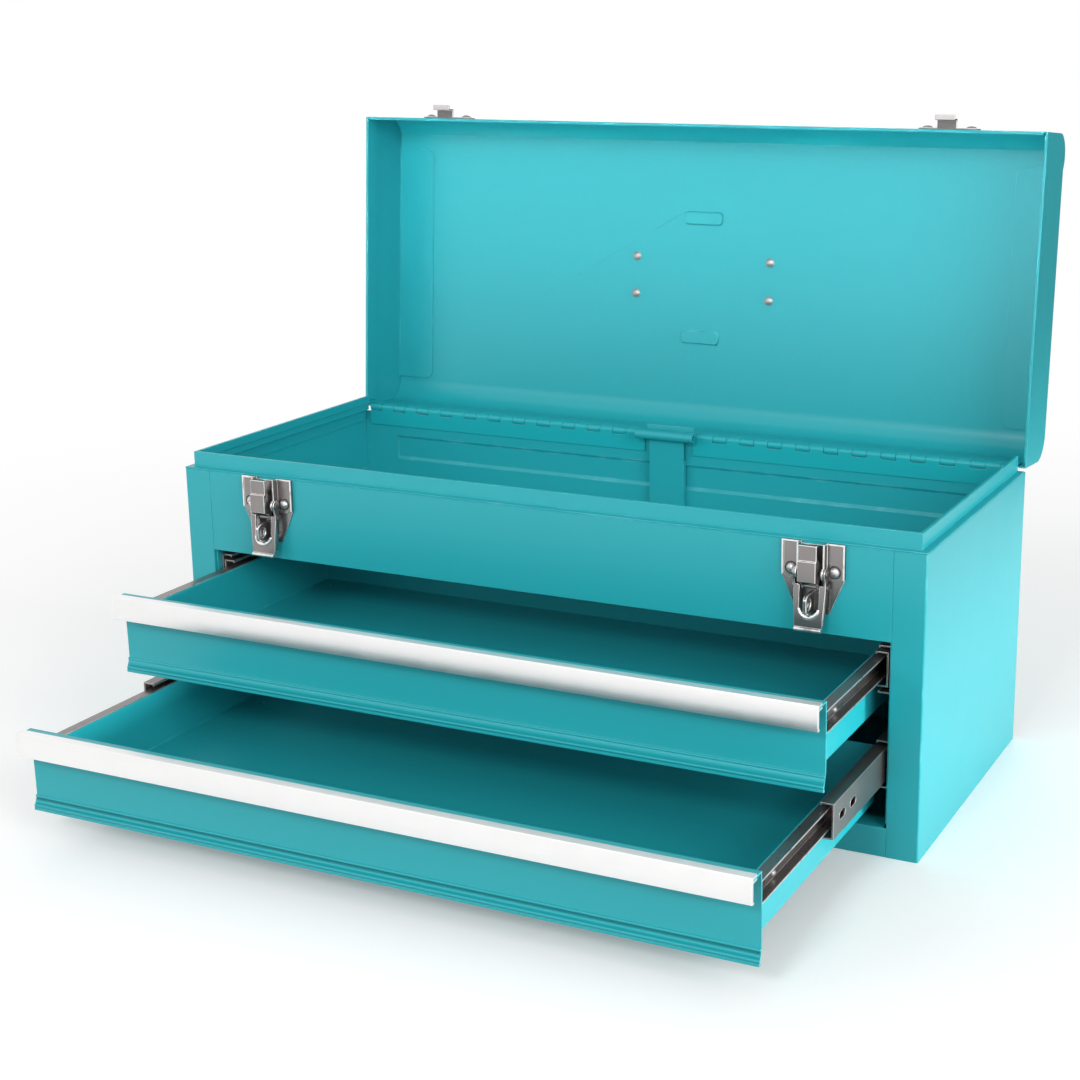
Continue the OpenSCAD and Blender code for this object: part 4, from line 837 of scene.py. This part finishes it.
for side, sign in (("left", -1), ("right", 1)):
    dressed("latch_base_" + side, "cabinet", zinc, 0.0003, steps=3, bright_faces=base_rim)
    dressed("latch_lever_" + side, "lever_" + side, zinc, 0.00035, steps=3, bright_faces=lever_roll)
    dressed("claw_pin_" + side, "lever_" + side, zinc, 0.0)
    dressed("latch_claw_" + side, "claw_" + side, zinc, 0.00035, steps=3, bright_faces=claw_step)
    dressed("strike_" + side, "lid", strike_zinc_shaded, 0.00045, steps=3, bright_faces=hook_lip)
    rim = [on_lever(sign, 6.1 * math.cos(math.radians(a)), 6.9, 151.4 + 6.1 * math.sin(math.radians(a)))
           for a in range(186, 355, 6)]
    wires(f"lever_rim_{side}", [rim], 0.00165, "lever_" + side, zinc, thin_ends=0.5)
dressed("latch_pivots", "cabinet", zinc, 0.0)
dressed("padlock_staples", "cabinet", zinc, 0.0006, steps=3)

latch_spots = [(side * 0.192 + s * 0.0134, 0.1725) for side in (-1, 1) for s in (-1, 1)]
riveted("latch_rivet_heads", "cabinet", rivet_zinc_lit,
        [(Vector((x, -0.112, z)), (0, -1, 0)) for x, z in latch_spots]
        + [(Vector((x, -0.109, z)), (0, 1, 0)) for x, z in latch_spots],
        0.0029, 0.0021, stands_for=["latch_rivets"])


def circle(at, across, up, r, count=24):
    """Points round a place, in the plane of the two directions, in metres."""
    return [at + r * (math.cos(2 * math.pi * k / count) * across + math.sin(2 * math.pi * k / count) * up)
            for k in range(count)]


# A dark wire ring round each latch rivet head: painted shade and dark reflection round the rivets, not a part
# of the latch.
rivet_shade_rings = [circle(Vector((x, -0.112, z)), Vector((1, 0, 0)), Vector((0, 0, 1)), 0.0034) for x, z in latch_spots]
wires("latch_rivet_shade_rings", rivet_shade_rings, 0.0006, "cabinet", shade_zinc, closed=True)
up = (on_lid(0, -1, 0) - on_lid(0, 0, 0)).normalized()
strike_spots = [side * 192 + s * 15 for side in (-1, 1) for s in (-1, 1)]
riveted("strike_rivet_heads", "lid", zinc, [(on_lid(x, -111.2, 198.8), up) for x in strike_spots],
        0.0034, 0.0017, stands_for=["strike_rivets"])
riveted("strike_rivet_tails", "lid", rivet_zinc_lit, [(on_lid(x, -108.8, 198.8), -up) for x in strike_spots],
        0.0030, 0.0005, 0.0003)


# ---------------------------------------------------------------- lock bar
# An enamelled sheet bar slides in two welded guides behind the drawers. The closed lid presses it down.
dressed("drawer_lock_bar", "lock_bar", teal_enamel, 0.0003)
dressed("lock_bar_guides", "cabinet", teal_enamel, 0.0003)
